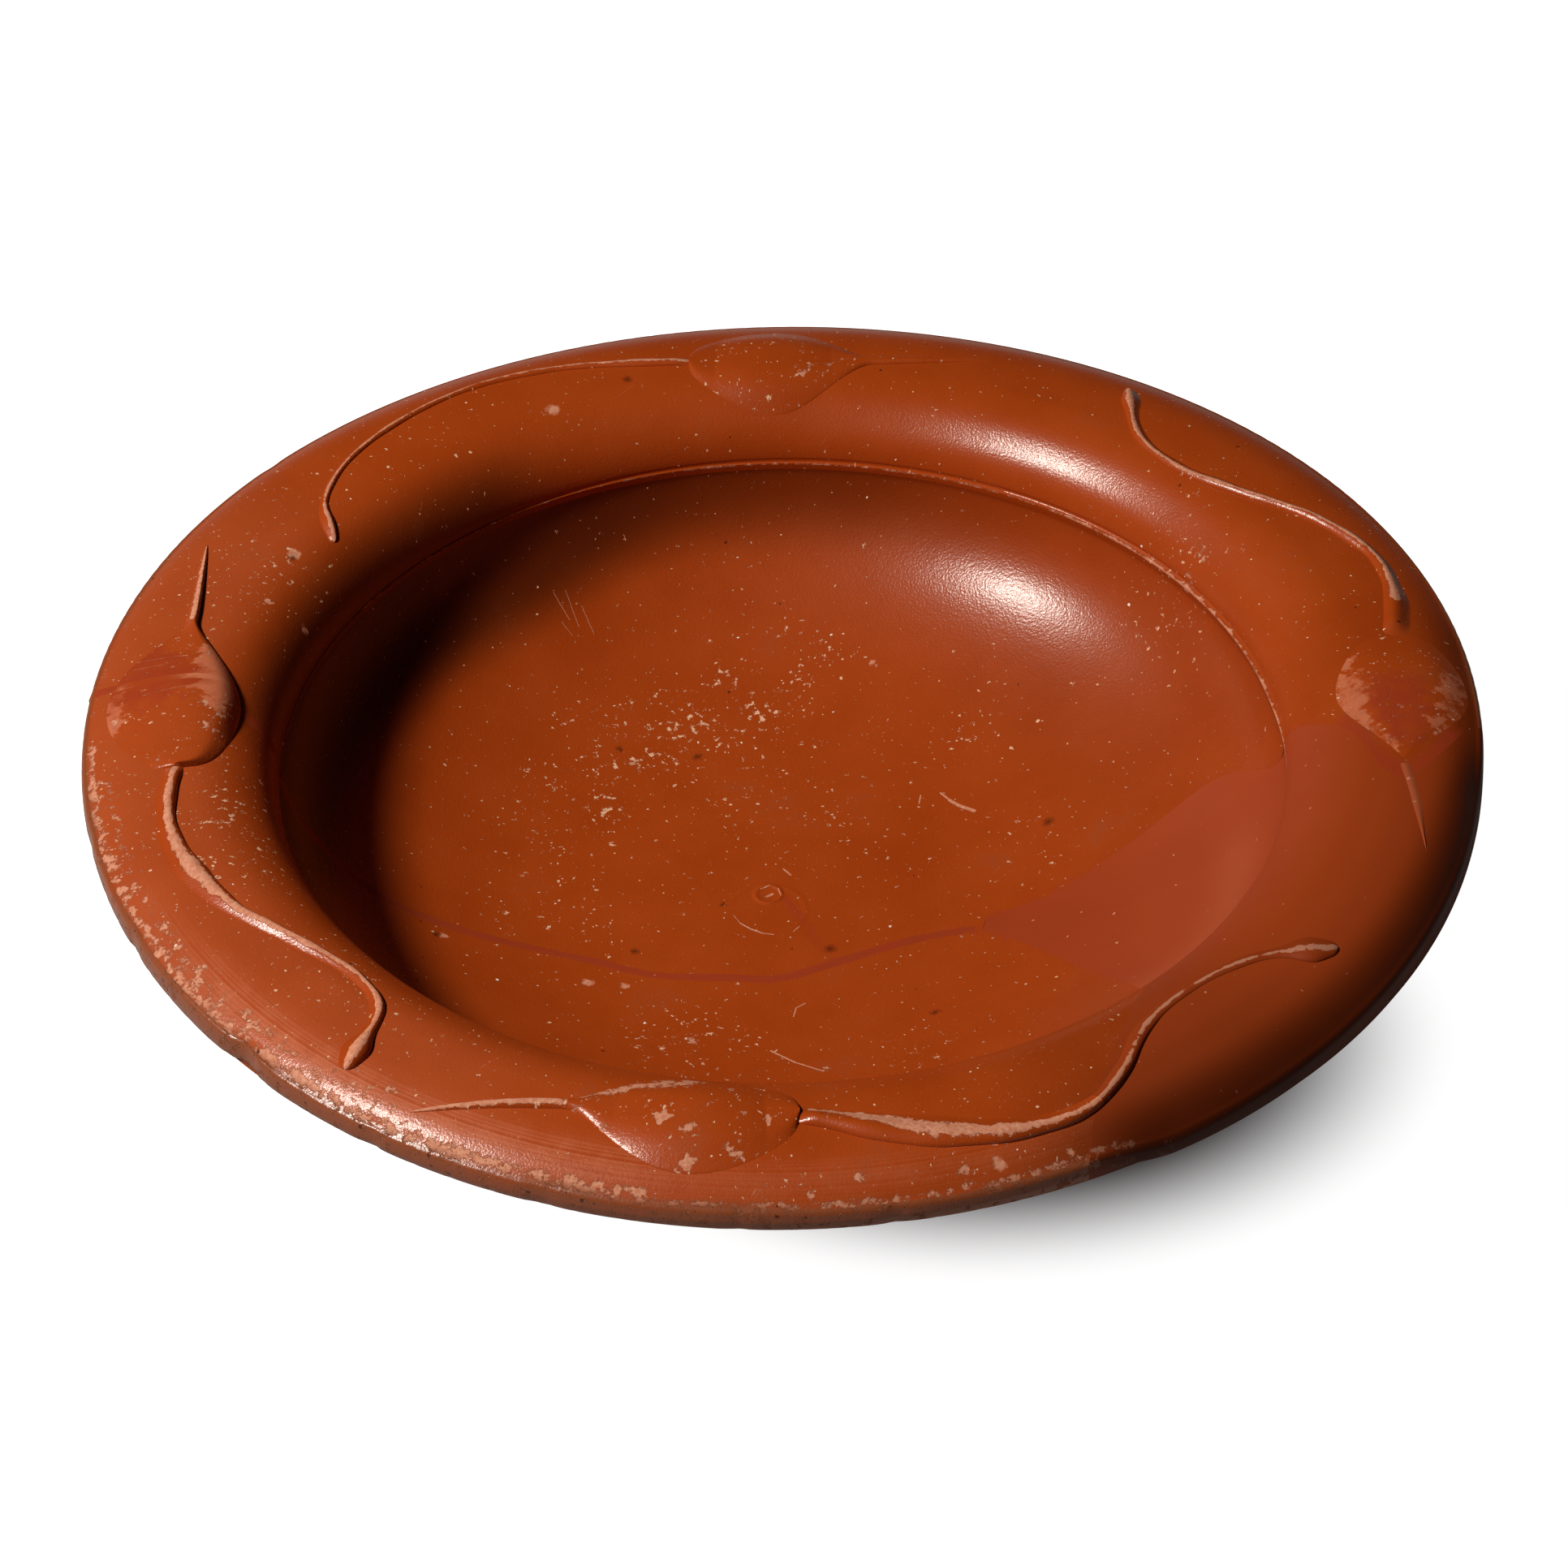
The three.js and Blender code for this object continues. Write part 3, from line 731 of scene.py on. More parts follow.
def embossed(tree, *heights):
    """The normal over a relief: patterns times their heights in millimetres, added up."""
    relief = 0.0
    for pattern, height in heights:
        relief = add(tree, "Math", {0: pattern, 1: height, 2: relief}, operation="MULTIPLY_ADD")
    return add(tree, "Bump", {"Height": relief, "Distance": MM, "Strength": 1.0}, out="Normal")


def stirred(tree, place, size, detail, reach):
    """Places moved at random, by up to half of reach millimetres, so that edges come out ragged."""
    stir = add(tree, "TexNoise", {"Vector": place, "Scale": every(size), "Detail": detail},
               out="Color")
    stir = add(tree, "VectorMath", {0: stir, 1: (0.5, 0.5, 0.5)}, operation="SUBTRACT")
    stir = add(tree, "VectorMath", {0: stir, "Scale": reach * MM}, operation="SCALE")
    return add(tree, "VectorMath", {0: place, 1: stir}, operation="ADD")


def specks(tree, flat, cell, small, large, density):
    """Ragged specks on the face laid flat: in cells of one size, a random few hold a dot whose
    radius lies between small and large millimetres; density says what share of the cells do."""
    spot = stirred(tree, flat, 0.5, 2.0, 0.6)
    away = add(tree, "TexVoronoi", {"Vector": spot, "Scale": every(cell)}, voronoi_dimensions="2D")
    chance = away.node.outputs["Color"]
    away = add(tree, "Math", {0: away, 1: cell}, operation="MULTIPLY")
    luck = add(tree, "SeparateColor", {0: chance}, out="Red")
    girth = add(tree, "SeparateColor", {0: chance}, out="Green")
    girth = add(tree, "Math", {0: girth, 1: 2.0}, operation="POWER")
    girth = add(tree, "MapRange", {0: girth, 3: small, 4: large})
    kept = add(tree, "Math", {0: luck, 1: density}, operation="LESS_THAN")
    girth = add(tree, "Math", {0: girth, 1: kept}, operation="MULTIPLY")
    depth = add(tree, "Math", {0: girth, 1: away}, operation="SUBTRACT")
    return add(tree, "MapRange", {0: depth, 1: 0.0, 2: 0.06})


def flecks(tree, flat, density):
    """Tiny ragged flecks in loose crowds: the highest crests of a fine noise, more of them where
    density and a slow noise are high."""
    fine = add(tree, "TexNoise",
               {"Vector": flat, "Scale": every(1.3), "Detail": 4.0, "Roughness": 0.65})
    crowd = add(tree, "TexNoise", {"Vector": flat, "Scale": every(6), "Detail": 2.0})
    crowd = add(tree, "MapRange", {0: crowd, 1: 0.35, 2: 0.68, 3: 0.15, 4: 1.2})
    crowd = add(tree, "Math", {0: crowd, 1: density}, operation="MULTIPLY")
    height = add(tree, "Math", {0: crowd, 1: 0.2, 2: fine}, operation="MULTIPLY_ADD")
    return add(tree, "MapRange", {0: height, 1: 0.68, 2: 0.72})


def scratches(tree, place, turn, length, width, share):
    """Fine strokes in one direction: noise drawn out along it, of which only a thin crest shows,
    and only where a second, coarser noise is high."""
    aligned = add(tree, "Mapping", {"Vector": place, "Rotation": (0.0, 0.0, math.radians(turn))})
    drawn = add(tree, "Mapping", {"Vector": aligned, "Scale": (width / length, 1.0, 0.3)})
    lines = add(tree, "TexNoise", {"Vector": drawn, "Scale": every(width * 6), "Detail": 1.0})
    lines = add(tree, "Math", {0: lines, 1: 0.5}, operation="SUBTRACT")
    lines = add(tree, "Math", {0: lines}, operation="ABSOLUTE")
    lines = add(tree, "MapRange", {0: lines, 1: 0.012, 2: 0.0})
    where = add(tree, "TexNoise", {"Vector": aligned, "Scale": every(length), "Detail": 1.0})
    where = add(tree, "MapRange", {0: where, 1: 1 - share, 2: 1.04 - share})
    return add(tree, "Math", {0: lines, 1: where}, operation="MULTIPLY")


def stroke(tree, plan, x, y, end_x, end_y, width, soft=0.15):
    """A short straight stroke on the plan: 1 within half its width of the line between two ends,
    fading at the edge over a soft share of the width; with both ends alike it is a spot."""
    start, end = Vector((x, y, 0.0)) * MM, Vector((end_x, end_y, 0.0)) * MM
    run = end - start
    near = plan
    if run.length > 0:
        step = add(tree, "VectorMath", {0: plan, 1: start}, operation="SUBTRACT")
        step = add(tree, "VectorMath", {0: step, 1: run / run.length_squared},
                   operation="DOT_PRODUCT", out="Value")
        step = add(tree, "Clamp", {0: step})
        back = add(tree, "VectorMath", {0: run, "Scale": step}, operation="SCALE")
        near = add(tree, "VectorMath", {0: plan, 1: back}, operation="SUBTRACT")
    away = add(tree, "VectorMath", {0: near, 1: start}, operation="DISTANCE", out="Value")
    outer, inner = (0.5 + soft) * width * MM, (0.5 - soft) * width * MM
    return add(tree, "MapRange", {0: away, 1: outer, 2: inner})


def flaked(tree, place, wear):
    """Where a skin has come off: the crests of a rough noise, and more of it the higher wear is."""
    flake = add(tree, "TexNoise",
                {"Vector": place, "Scale": every(1.6), "Detail": 8.0, "Roughness": 0.72})
    bare = add(tree, "Math", {0: flake, 1: 1.6, 2: wear}, operation="MULTIPLY_ADD")
    return add(tree, "MapRange", {0: bare, 1: 1.34, 2: 1.42})


def fired_slip(name, ringed, strokes, spots, smudges):
    """Red slip fired to a soft gloss over pinkish clay: a thin smooth skin, worn paler by rubbing
    on the shoulder, with painted sheen and painted shade in its colour, and where it has flaked or
    is specked the paler dull clay looks through."""
    material, tree, shader, place, flat, read = new_material(
        name, ("wear", "grime", "cover", "rub_and_sheen", "painted_sheen", "painted_shade", "speck"))
    wear, grime, cover, rub_and_sheen, painted_sheen, painted_shade, density = read
    plan = add(tree, "VectorMath", {0: place, 1: (1.0, 1.0, 0.0)}, operation="MULTIPLY")
    radius = add(tree, "VectorMath", {0: plan}, operation="LENGTH", out="Value")

    # the slip, a little cloudy
    cloud = add(tree, "TexNoise",
                {"Vector": place, "Scale": every(14), "Detail": 5.0, "Roughness": 0.6})
    colour = add(tree, "ValToRGB", {0: cloud}, out="Color")
    stops = colour.node.color_ramp.elements
    stops.new(0.5)
    for stop, position, tone in zip(stops, (0.32, 0.5, 0.7), (SLIP_DEEP, SLIP, SLIP_PALE)):
        stop.position = position
        stop.color = linear(tone)

    # painted sheen, streaks of wear that follow the rim with painted sheen on them, and painted
    # shade
    rings = add(tree, "TexNoise", {"W": radius, "Scale": every(0.5), "Detail": 3.0},
                noise_dimensions="1D")
    streaks = add(tree, "TexNoise",
                  {"Vector": place, "Scale": every(4), "Detail": 8.0, "Roughness": 0.75})
    if ringed:
        streaks = add(tree, "Math", {0: rings, 1: streaks}, operation="ADD")
        streaks = add(tree, "MapRange", {0: streaks, 1: 0.75, 2: 1.3})
        rubbed_and_sheen = add(tree, "Math", {0: rub_and_sheen, 1: streaks}, operation="MULTIPLY")
    else:
        rubbed_and_sheen = add(tree, "Math", {0: streaks, 1: 2.4, 2: rub_and_sheen}, operation="MULTIPLY_ADD")
        rubbed_and_sheen = add(tree, "MapRange", {0: rubbed_and_sheen, 1: 1.9, 2: 2.15, 4: 0.85})
    colour = layered(tree, colour, (painted_sheen, SLIP_RUBBED_AND_SHEEN), (rubbed_and_sheen, SLIP_RUBBED_AND_SHEEN), (painted_shade, SLIP_SHADE_PAINT))

    # worn through to the clay, with paler dots and a few white grits
    dots = strongest(tree, flecks(tree, flat, density),
                     specks(tree, flat, 1.5, 0.05, 0.17, density),
                     specks(tree, flat, 4.3, 0.08, 0.3, density))
    scored = scratches(tree, place, -50, 7.0, 0.2, 0.27)
    scored = add(tree, "Math", {0: scored, 1: 0.35}, operation="MULTIPLY")
    white = specks(tree, flat, 7.0, 0.06, 0.24, 0.2)
    ragged_plan = stirred(tree, plan, 1.0, 3.0, 1.6)
    ragged_plan = add(tree, "VectorMath", {0: ragged_plan, 1: (1.0, 1.0, 0.0)},
                      operation="MULTIPLY")
    bare = strongest(tree, flaked(tree, place, wear), scored,
                     *(stroke(tree, plan, *row) for row in strokes),
                     *(stroke(tree, ragged_plan, x, y, x, y, 2 * size) for x, y, size in spots),
                     dots, white)
    grain = add(tree, "TexNoise", {"Vector": place, "Scale": every(0.6), "Detail": 4.0})
    mixed = add(tree, "MapRange", {0: grain, 1: 0.35, 2: 0.75, 4: 0.6})
    clay = layered(tree, CLAY, (mixed, SLIP_PALE), (dots, CLAY_PALE), (white, CLAY_WHITE))

    # grime on the lip, smoked spots, and the mender's paint that strays over the edges
    dirty = add(tree, "Math", {0: grime, 1: 0.6, 2: cloud}, operation="MULTIPLY_ADD")
    dirty = add(tree, "MapRange", {0: dirty, 1: 0.62, 2: 1.05, 4: 0.9})
    pits = add(tree, "Math", {0: grime, 1: 0.3}, operation="MULTIPLY")
    soot = strongest(tree, specks(tree, flat, 9.0, 0.08, 0.3, 0.12),
                     *(stroke(tree, ragged_plan, x, y, x, y, 2 * size, 0.5)
                       for x, y, size in smudges),
                     specks(tree, flat, 2.2, 0.08, 0.4, pits))
    soot = add(tree, "Math", {0: soot, 1: 0.75}, operation="MULTIPLY")
    ragged = add(tree, "TexNoise", {"Vector": place, "Scale": every(2.5), "Detail": 4.0})
    over = add(tree, "Math", {0: cover, 1: ragged}, operation="ADD")
    over = add(tree, "MapRange", {0: over, 1: 0.8, 2: 1.3, 4: 0.9})
    colour = layered(tree, colour, (bare, clay), (dirty, LIP_BROWN), (soot, SOOT), (over, RETOUCH))

    # a soft gloss, dull where bare or rubbed, over rings of the wheel, grain and slight lumps
    shine = add(tree, "MapRange", {0: cloud, 1: 0.3, 2: 0.7, 3: 0.46, 4: 0.54})
    shine = add(tree, "Math", {0: bare, 1: 0.25, 2: shine}, operation="MULTIPLY_ADD")
    coat = add(tree, "MapRange", {0: strongest(tree, bare, rubbed_and_sheen), 3: 0.58, 4: 0.05})
    lumps = add(tree, "TexNoise", {"Vector": place, "Scale": every(7), "Detail": 2.0})
    fine_grain = add(tree, "TexNoise", {"Vector": place, "Scale": every(0.34), "Detail": 2.0})
    normal = embossed(tree, (rings, 0.006), (grain, 0.02), (fine_grain, 0.04), (lumps, 0.05),
                      (bare, -0.05))
    plug(tree, shader, {
        "Base Color": colour, "Roughness": shine, "IOR": 1.5, "Specular IOR Level": 0.08,
        "Coat Weight": coat, "Coat Roughness": 0.24, "Normal": normal, "Coat Normal": normal})
    return material


def paint(name, tone, deep, size, under):
    """The mender's matt red paint, brushed on: an even, slightly pinker red with soft brush marks,
    paler where marked (a painted sheen on the fill's wall, the paint's own paler tone elsewhere),
    darker with painted shade, and worn through to what lies under it where its mark of wear is
    high."""
    material, tree, shader, place, flat, read = new_material(
        name, ("wear", "cover", "rub_and_sheen", "painted_shade"))
    wear, cover, rub_and_sheen, painted_shade = read
    drawn = add(tree, "Mapping",
                {"Vector": place, "Rotation": (0.0, 0.0, 0.5), "Scale": (0.25, 1.0, 0.5)})
    brush = add(tree, "TexNoise", {"Vector": drawn, "Scale": every(size / 4), "Detail": 5.0})
    cloud = add(tree, "TexNoise", {"Vector": place, "Scale": every(size), "Detail": 3.0})
    mixed = add(tree, "Math", {0: brush, 1: 0.3, 2: cloud}, operation="MULTIPLY_ADD")
    mixed = add(tree, "MapRange", {0: mixed, 1: 0.45, 2: 0.85})
    dots = specks(tree, flat, 2.4, 0.05, 0.22, 0.12)
    bare = strongest(tree, flaked(tree, place, wear), dots)
    showing = add(tree, "Math", {0: bare, 1: 0.8}, operation="MULTIPLY")
    # the paler layer is a painted sheen on the fill's wall and real paler paint on the tail and
    # mend; the last layer is painted shade
    colour = layered(tree, deep, (mixed, tone), (cover, FILL_RIM), (rub_and_sheen, FILL_PALE_AND_SHEEN),
                     (showing, under), (painted_shade, SLIP_SHADE_PAINT))
    shine = add(tree, "MapRange", {0: brush, 1: 0.3, 2: 0.7, 3: 0.44, 4: 0.52})
    plug(tree, shader, {
        "Base Color": colour, "Roughness": shine, "IOR": 1.48, "Specular IOR Level": 0.17,
        "Normal": embossed(tree, (brush, 0.02))})
    return material


FINISHES = {
    "red_gloss": fired_slip("fired_red_slip", True, PALE_STROKES, PALE_SPOTS, DARK_SPOTS),
    "trailed_slip": fired_slip("trailed_slip", False, LEAF_STROKES, [], []),
    "painted_plaster": paint("painted_plaster", FILL_PAINT, FILL_DEEP, 22, CLAY),
    "retouch": paint("retouch_paint", RETOUCH, FILL_DEEP, 8, SLIP_RUBBED_AND_SHEEN),
}


# The thrown body

def body_rows():
    """Radius, height and face of each row of the body's section, and the row where it turns back:
    outwards over the upper face, round the lip and back under the rim to the axis. Rows lie close
    at the pip, the mouth, the lip and the ends of the break."""
    near_mouth = np.linspace(0, 1.8, 16)
    wall_turn = np.linspace(0, np.pi / 2, 36)[1:-2]
    roll_turn = np.linspace(0, np.pi / 2, 24)[2:]
    roll = CREST_R - MOUTH_R
    at_break = np.concatenate([BREAK_MIN_R + np.array([0, 0.03, 0.1, 0.25, 0.5]),
                               FILL_TIP_R + np.array([-0.02, 0.02])])
    upper = np.unique(np.round(np.concatenate([
        np.linspace(0, 8, 33),
        np.linspace(9, FLOOR_R, 9),
        at_break,
        FLOOR_R + INSIDE_SPREAD * np.sin(wall_turn),
        FLOOR_R + INSIDE_SPREAD * np.sqrt(1 - (near_mouth / (MOUTH_Z - FLOOR_Z)) ** 2),
        CREST_R - roll * np.sqrt(1 - (near_mouth / (CREST_Z - MOUTH_Z)) ** 2),
        CREST_R - roll * np.cos(roll_turn),
        np.linspace(CREST_R + 0.8, 95, 16),
        np.linspace(95.5, RIM_R - LIP_ROUND, 9),
    ]), 9))
    lower = np.unique(np.round(np.concatenate([
        np.linspace(RIM_R - LIP_ROUND, UNDERCUT_START + UNDERCUT_R + 0.5, 9),
        UNDERCUT_START + UNDERCUT_R * (1 - np.cos(np.linspace(0, np.pi / 2, 10))),
        FLOOR_R + OUTSIDE_SPREAD * np.sin(np.linspace(np.pi / 2 - UNDERCUT_TURN, 0, 26)),
        at_break,
        np.linspace(0, FLOOR_R, 9),
    ]), 9))[::-1]
    high = float(top_height(np.array(upper[-1])))
    low = float(low_height(np.array(lower[0])))
    arc = np.linspace(0, np.pi / 2, 6)[1:]
    down = np.linspace(0, 1, 7)[1:-1]
    centre = RIM_R - LIP_ROUND
    lip_r = np.concatenate([
        centre + LIP_ROUND * np.sin(arc),
        RIM_R + LIP_BULGE * np.sin(np.pi * down),
        centre + LIP_ROUND * np.cos(arc - arc[0]),
    ])
    lip_z = np.concatenate([
        high - LIP_ROUND * (1 - np.cos(arc)),
        high - LIP_ROUND + (low - high + 2 * LIP_ROUND) * down,
        low + LIP_ROUND * (1 - np.sin(arc - arc[0])),
    ])
    r = np.concatenate([upper, lip_r, lower])
    z = np.concatenate([top_height(upper), lip_z, low_height(lower)])
    face = np.repeat([UPPER, LIP, LOWER], [len(upper), len(lip_r), len(lower)])
    return r, z, face, len(upper) + len(lip_r) // 2


def mouth_ledge(az):
    """How far the ledge at the mouth stands in, by azimuth: a hairline at the left, growing to the
    right and dying away within the fill."""
    grow = ease((125 - np.abs(turned(az, 8))) / 120)
    past = turned(az, -3)
    die = ease(past / 15) + (past < 0) * ease(turned(-60, az) / 20)
    return (LEDGE_LEAST + LEDGE_MORE * grow) * np.clip(die, 0, 1)


def fill_sink(x, y):
    """How far the fill's rounded outer edge lies below the rim's own section."""
    r = np.hypot(x, y)
    nose = np.clip((r - NOSE_START) / (RIM_R - NOSE_START), 0, 1)
    inside = within_fill(r, np.degrees(np.arctan2(y, x)))
    return NOSE_DROP * nose ** NOSE_POWER * ease(inside / NOSE_FADE)


def crease(az):
    """Radius of the soft crease in the fill's wall, by azimuth: it bows out in its middle and
    runs down towards the front."""
    return CREASE_R + 2.0 * hill(turned(az, 348), 0, 16) - 6 * ease(turned(340, az) / 16)


def worked(x, y, z, face, is_fill):
    """The potter's marks: a small ledge with a groove over it where the wall meets the roll, a
    facet above it, a pip with a ring round it on the floor, a lip that falls lower at the front,
    and knocks along it; on the fill, a crease in its wall and a rounded outer edge. Each is a bell
    or a step of the distance from its middle."""
    r = np.hypot(x, y)
    az = np.degrees(np.arctan2(y, x)) % 360
    top, outside = face == UPPER, face != LOWER
    if is_fill:
        fold = CREASE_DEPTH * np.clip(1 - np.abs(r - crease(az)) / CREASE_SPREAD, 0, 1)
        z = z - np.where(top, fold * ease(within_fill(r, az) / CREASE_FADE), 0)
        z = z - np.where(outside, fill_sink(x, y), 0) * ease((z - LIP_LOW_Z) / 1.5)
    up = z - warp(x, y) - MOUTH_Z
    near = top & (r > MOUTH_R - 1.5) & (r < MOUTH_R + 3)
    ledge = ease((up + LEDGE_BELOW) / LEDGE_BELOW) * (up < 0.02)
    ledge = ledge - GROOVE_DEPTH * hill(up, 0.4, 0.26) * (up > 0.02)
    inward = np.where(near, ledge * mouth_ledge(az), 0) / np.maximum(r, 1)
    x, y = x - inward * x, y - inward * y
    if is_fill:
        return x, y, z

    z = z - FACET_DEPTH * hill(r, FACET_R, FACET_SPREAD) * between(az, *FACET) * top
    to_pip = np.hypot(x - PIP[0], y - PIP[1])
    to_ring = np.hypot(x - RING[0], y - RING[1])
    pip = PIP_RISE * hill(to_pip, PIP_R, PIP_SPREAD) - PIP_HOLLOW * hill(to_pip, 0, 1.0)
    z = z + np.where(top, pip + RING_RISE * hill(to_ring, RING_R, RING_SPREAD), 0)
    knock = np.max([depth * hill(turned(az, place), 0, width * 0.6)
                    for place, width, depth in LIP_KNOCKS], axis=0)
    rough = 0.5 * np.sin(az * 7.1) * np.sin(az * 3.3 + 1) + 0.3 * np.sin(az * 17.7 + 2) + 0.5
    knock = knock * (0.75 + 0.3 * rough) + 0.1 * np.clip(rough - 0.6, 0, 1)
    nose = np.clip((r - FRONT_NOSE_START) / (RIM_R - FRONT_NOSE_START), 0, 1) ** 2
    nose = FRONT_NOSE_DROP * nose * between(az, *FRONT_NOSE) * outside
    z = z - nose * ease((z - LIP_LOW_Z) / 2.5)
    drop = knock * ease((r - (RIM_R - KNOCK_REACH)) / KNOCK_REACH) * outside
    inward = KNOCK_IN * drop / np.maximum(r, 1)
    return x - inward * x, y - inward * y, z - KNOCK_DOWN * drop * top


def body_marks(x, y, z, face, is_fill):
    """Marks that the finish reads. Wear: flaking along the lip and the ledge at the mouth, and
    chips. Paler marks: the shoulder worn by rubbing with a painted sheen on it, and a painted sheen
    on the left shoulder. Grime: on the lip. Cover: stray paint beside the break and the fill.
    Painted shade: on the wall below the mouth, the roll behind the left leaf, the right wall, and
    the lip and rim at the right front. Speck: how many specks. Flat: the face laid flat. On the
    fill, cover is the rim's redder paint and the paler mark a painted sheen on its wall."""
    r = np.hypot(x, y)
    az = np.degrees(np.arctan2(y, x)) % 360
    upper, on_lip = face == UPPER, face == LIP

    up = z - warp(x, y) - MOUTH_Z
    ledge = hill(up, -0.1, 0.22) * (np.abs(r - MOUTH_R) < 1) * between(az, *LEDGE_WORN)
    ledge = ledge * (LEDGE_WEAR + LEDGE_WEAR_MORE * between(az, *LEDGE_PALEST))
    wear = np.max([bands(r, az, LIP_FLAKES), ledge, patches(x, y, CHIPS)], axis=0) * upper
    wear = np.maximum(wear, LIP_WEAR * on_lip * between(az, *LIP_FLAKED)) + LEAST_WEAR
    # the shoulder worn paler with painted sheen on it, and a painted sheen on the left shoulder
    rub_and_sheen = bands(r, az, LIP_RUBS_AND_SHEEN) * upper
    painted_sheen = SHOULDER_SHEEN * ease((r - 76) / 10) * between(az, *SHOULDER_SHEENED) * upper
    grime = (0.5 + 0.5 * between(az, *LIP_DIRTY)) * hill(r, 99.6, 0.9) * upper
    grime = np.clip(grime + on_lip + (face == LOWER) * ease((r - 90) / 9), 0, 1)

    to_right = np.where(r < FILL_TIP_R, from_edge(r, az, right_edge), FAR)
    to_break = np.minimum(from_edge(r, az, left_edge), to_right)
    to_fill = np.minimum(from_edge(r, az, fill_back), from_edge(r, az, fill_front))
    to_fill = np.where(r > FILL_TIP_R - 2, to_fill, FAR)
    by_leaf = between(az, *LEAF_RETOUCHED) * ease((r - 78) / 4)
    beside_fill = (FILL_COVER + FILL_COVER_MORE * by_leaf) * hill(to_fill, 0, 2.2 + 3 * by_leaf)
    beside_break = BREAK_COVER * hill(to_break, 0, 1.3)
    cover = np.maximum(beside_break, beside_fill) * ease((98.5 - r) / 4)

    # painted shade on the wall below the mouth, reaching deeper on the left, on the roll behind the
    # left leaf and on the right wall
    below_mouth = r < MOUTH_R - 0.05
    deep = 4.5 * ease((az - 100) / 30) * ease((200 - az) / 18)
    wall = steps(az, WALL_SHADE_LEAST, WALL_SHADE_STEPS) * between(az, *WALL_SHADED)
    wall = wall * ease((r - 64.5 + deep) / 7.5) * below_mouth
    roll = ROLL_SHADE * ease((81 - r) / 8) * between(az, *ROLL_SHADED) * ~below_mouth
    right = RIGHT_WALL_SHADE * ease((r - 38) / 16) * between(az, *RIGHT_SHADED) * (r < MOUTH_R)
    painted_shade = np.max([wall, roll, right], axis=0) * upper
    if is_fill:
        painted_shade = 0 * r
        cover = ease((r - 74) / 10)
        # a painted sheen on the fill's wall, most beside its crease
        fold = CREASE_SHEEN * hill(r, crease(az) - 2.5, 3.5) * between(az, *CREASE_SHEENED)
        rub_and_sheen = (FILL_SHEEN * ease((r - 42) / 18) * ease((84 - r) / 9) + fold) * upper
    # painted shade on the rim and lip at the right front, over the fill
    before = turned(RIM_SHADE_TURN, az)
    rim = steps(r, RIM_SHADE_LEAST, RIM_SHADE_STEPS) + LIP_SHADE * on_lip
    rim = rim + FRONT_RIM_SHADE * ease(before / 15) * (before < 90)
    painted_shade = np.maximum(painted_shade, rim * between(az, *RIM_SHADED) * ease((r - 71) / 6))

    crowd = sum(more * hill(np.hypot(x - px, y - py), 0, spread)
                for px, py, spread, more in SPECK_CROWDS)
    on_rim = between(az, *RIM_SPECKED) * ease((r - 72) / 10)
    speck = LEAST_SPECK + RIM_SPECK * on_rim + crowd * upper
    beyond = np.where(on_lip, np.max(np.where(on_lip, z, -FAR)) - z, 0)
    flat = flat_place(x, y, beyond) + np.where(face == LOWER, UNDER_FLAT, 0.0)[..., None]
    return {"wear": wear, "rub_and_sheen": rub_and_sheen, "painted_sheen": painted_sheen, "grime": grime, "cover": cover,
            "painted_shade": painted_shade, "speck": np.clip(speck, 0, MOST_SPECK), "flat": flat}


def slab(name, node, slot, start, end, first_r, columns, is_fill=False):
    """A part of the thrown body between two edges of the plan: rows follow the section, columns
    share out the turn from the start edge to the end edge at each radius, and the edges are
    closed by upright walls."""
    r, z, face, turn_row = body_rows()
    keep = r >= first_r - TINY
    turn_row = int(np.sum(keep[:turn_row]))
    r, z, face = r[keep], z[keep], face[keep]
    share = np.linspace(0, 1, columns)[None, :]
    az = np.radians(start(r)[:, None] + (end(r) - start(r))[:, None] * share)
    x, y = r[:, None] * np.cos(az), r[:, None] * np.sin(az)
    face = np.broadcast_to(face[:, None], x.shape)
    height = z[:, None] + warp(x, y)
    marks = body_marks(x, y, height, face, is_fill)
    points = np.stack(worked(x, y, height, face, is_fill), axis=-1)
    faces = grid_faces(len(r), columns)
    index = np.arange(len(r) * columns).reshape(len(r), columns)
    parted = r > BREAK_MIN_R - TINY
    above = np.nonzero(parted[:turn_row])[0]
    below = np.nonzero(parted[turn_row:])[0][::-1] + turn_row
    for column, flip in ((0, True), (columns - 1, False)):
        faces += zip_faces(index[above, column], r[above], index[below, column], r[below], flip)
    if first_r > BREAK_MIN_R + 1:
        tip = [index[0, :-1], index[0, 1:], index[-1, 1:], index[-1, :-1]]
        faces += np.stack(tip, axis=1).tolist()
    make_piece(name, node, slot, points, faces, marks)


def back_start(r):
    """Azimuth at which the back sherd starts: the break, and beyond the fill's tip the fill."""
    return np.where(r < FILL_TIP_R, right_edge(r), fill_back(r))


def front_end(r):
    """Azimuth at which the front sherd ends: the break, and beyond the fill's tip the fill."""
    return np.where(r < FILL_TIP_R, right_edge(r), fill_front(r))


slab("sherd_back", "back_sherd", "red_gloss", back_start, left_edge_round, 0.0, 400)
slab("sherd_front", "front_sherd", "red_gloss", left_edge, front_end, BREAK_MIN_R, 300)
slab("fill_plaster", "plaster_fill", "painted_plaster", fill_front, fill_back,
     FILL_TIP_R + 0.02, 150, is_fill=True)


# The retouched break

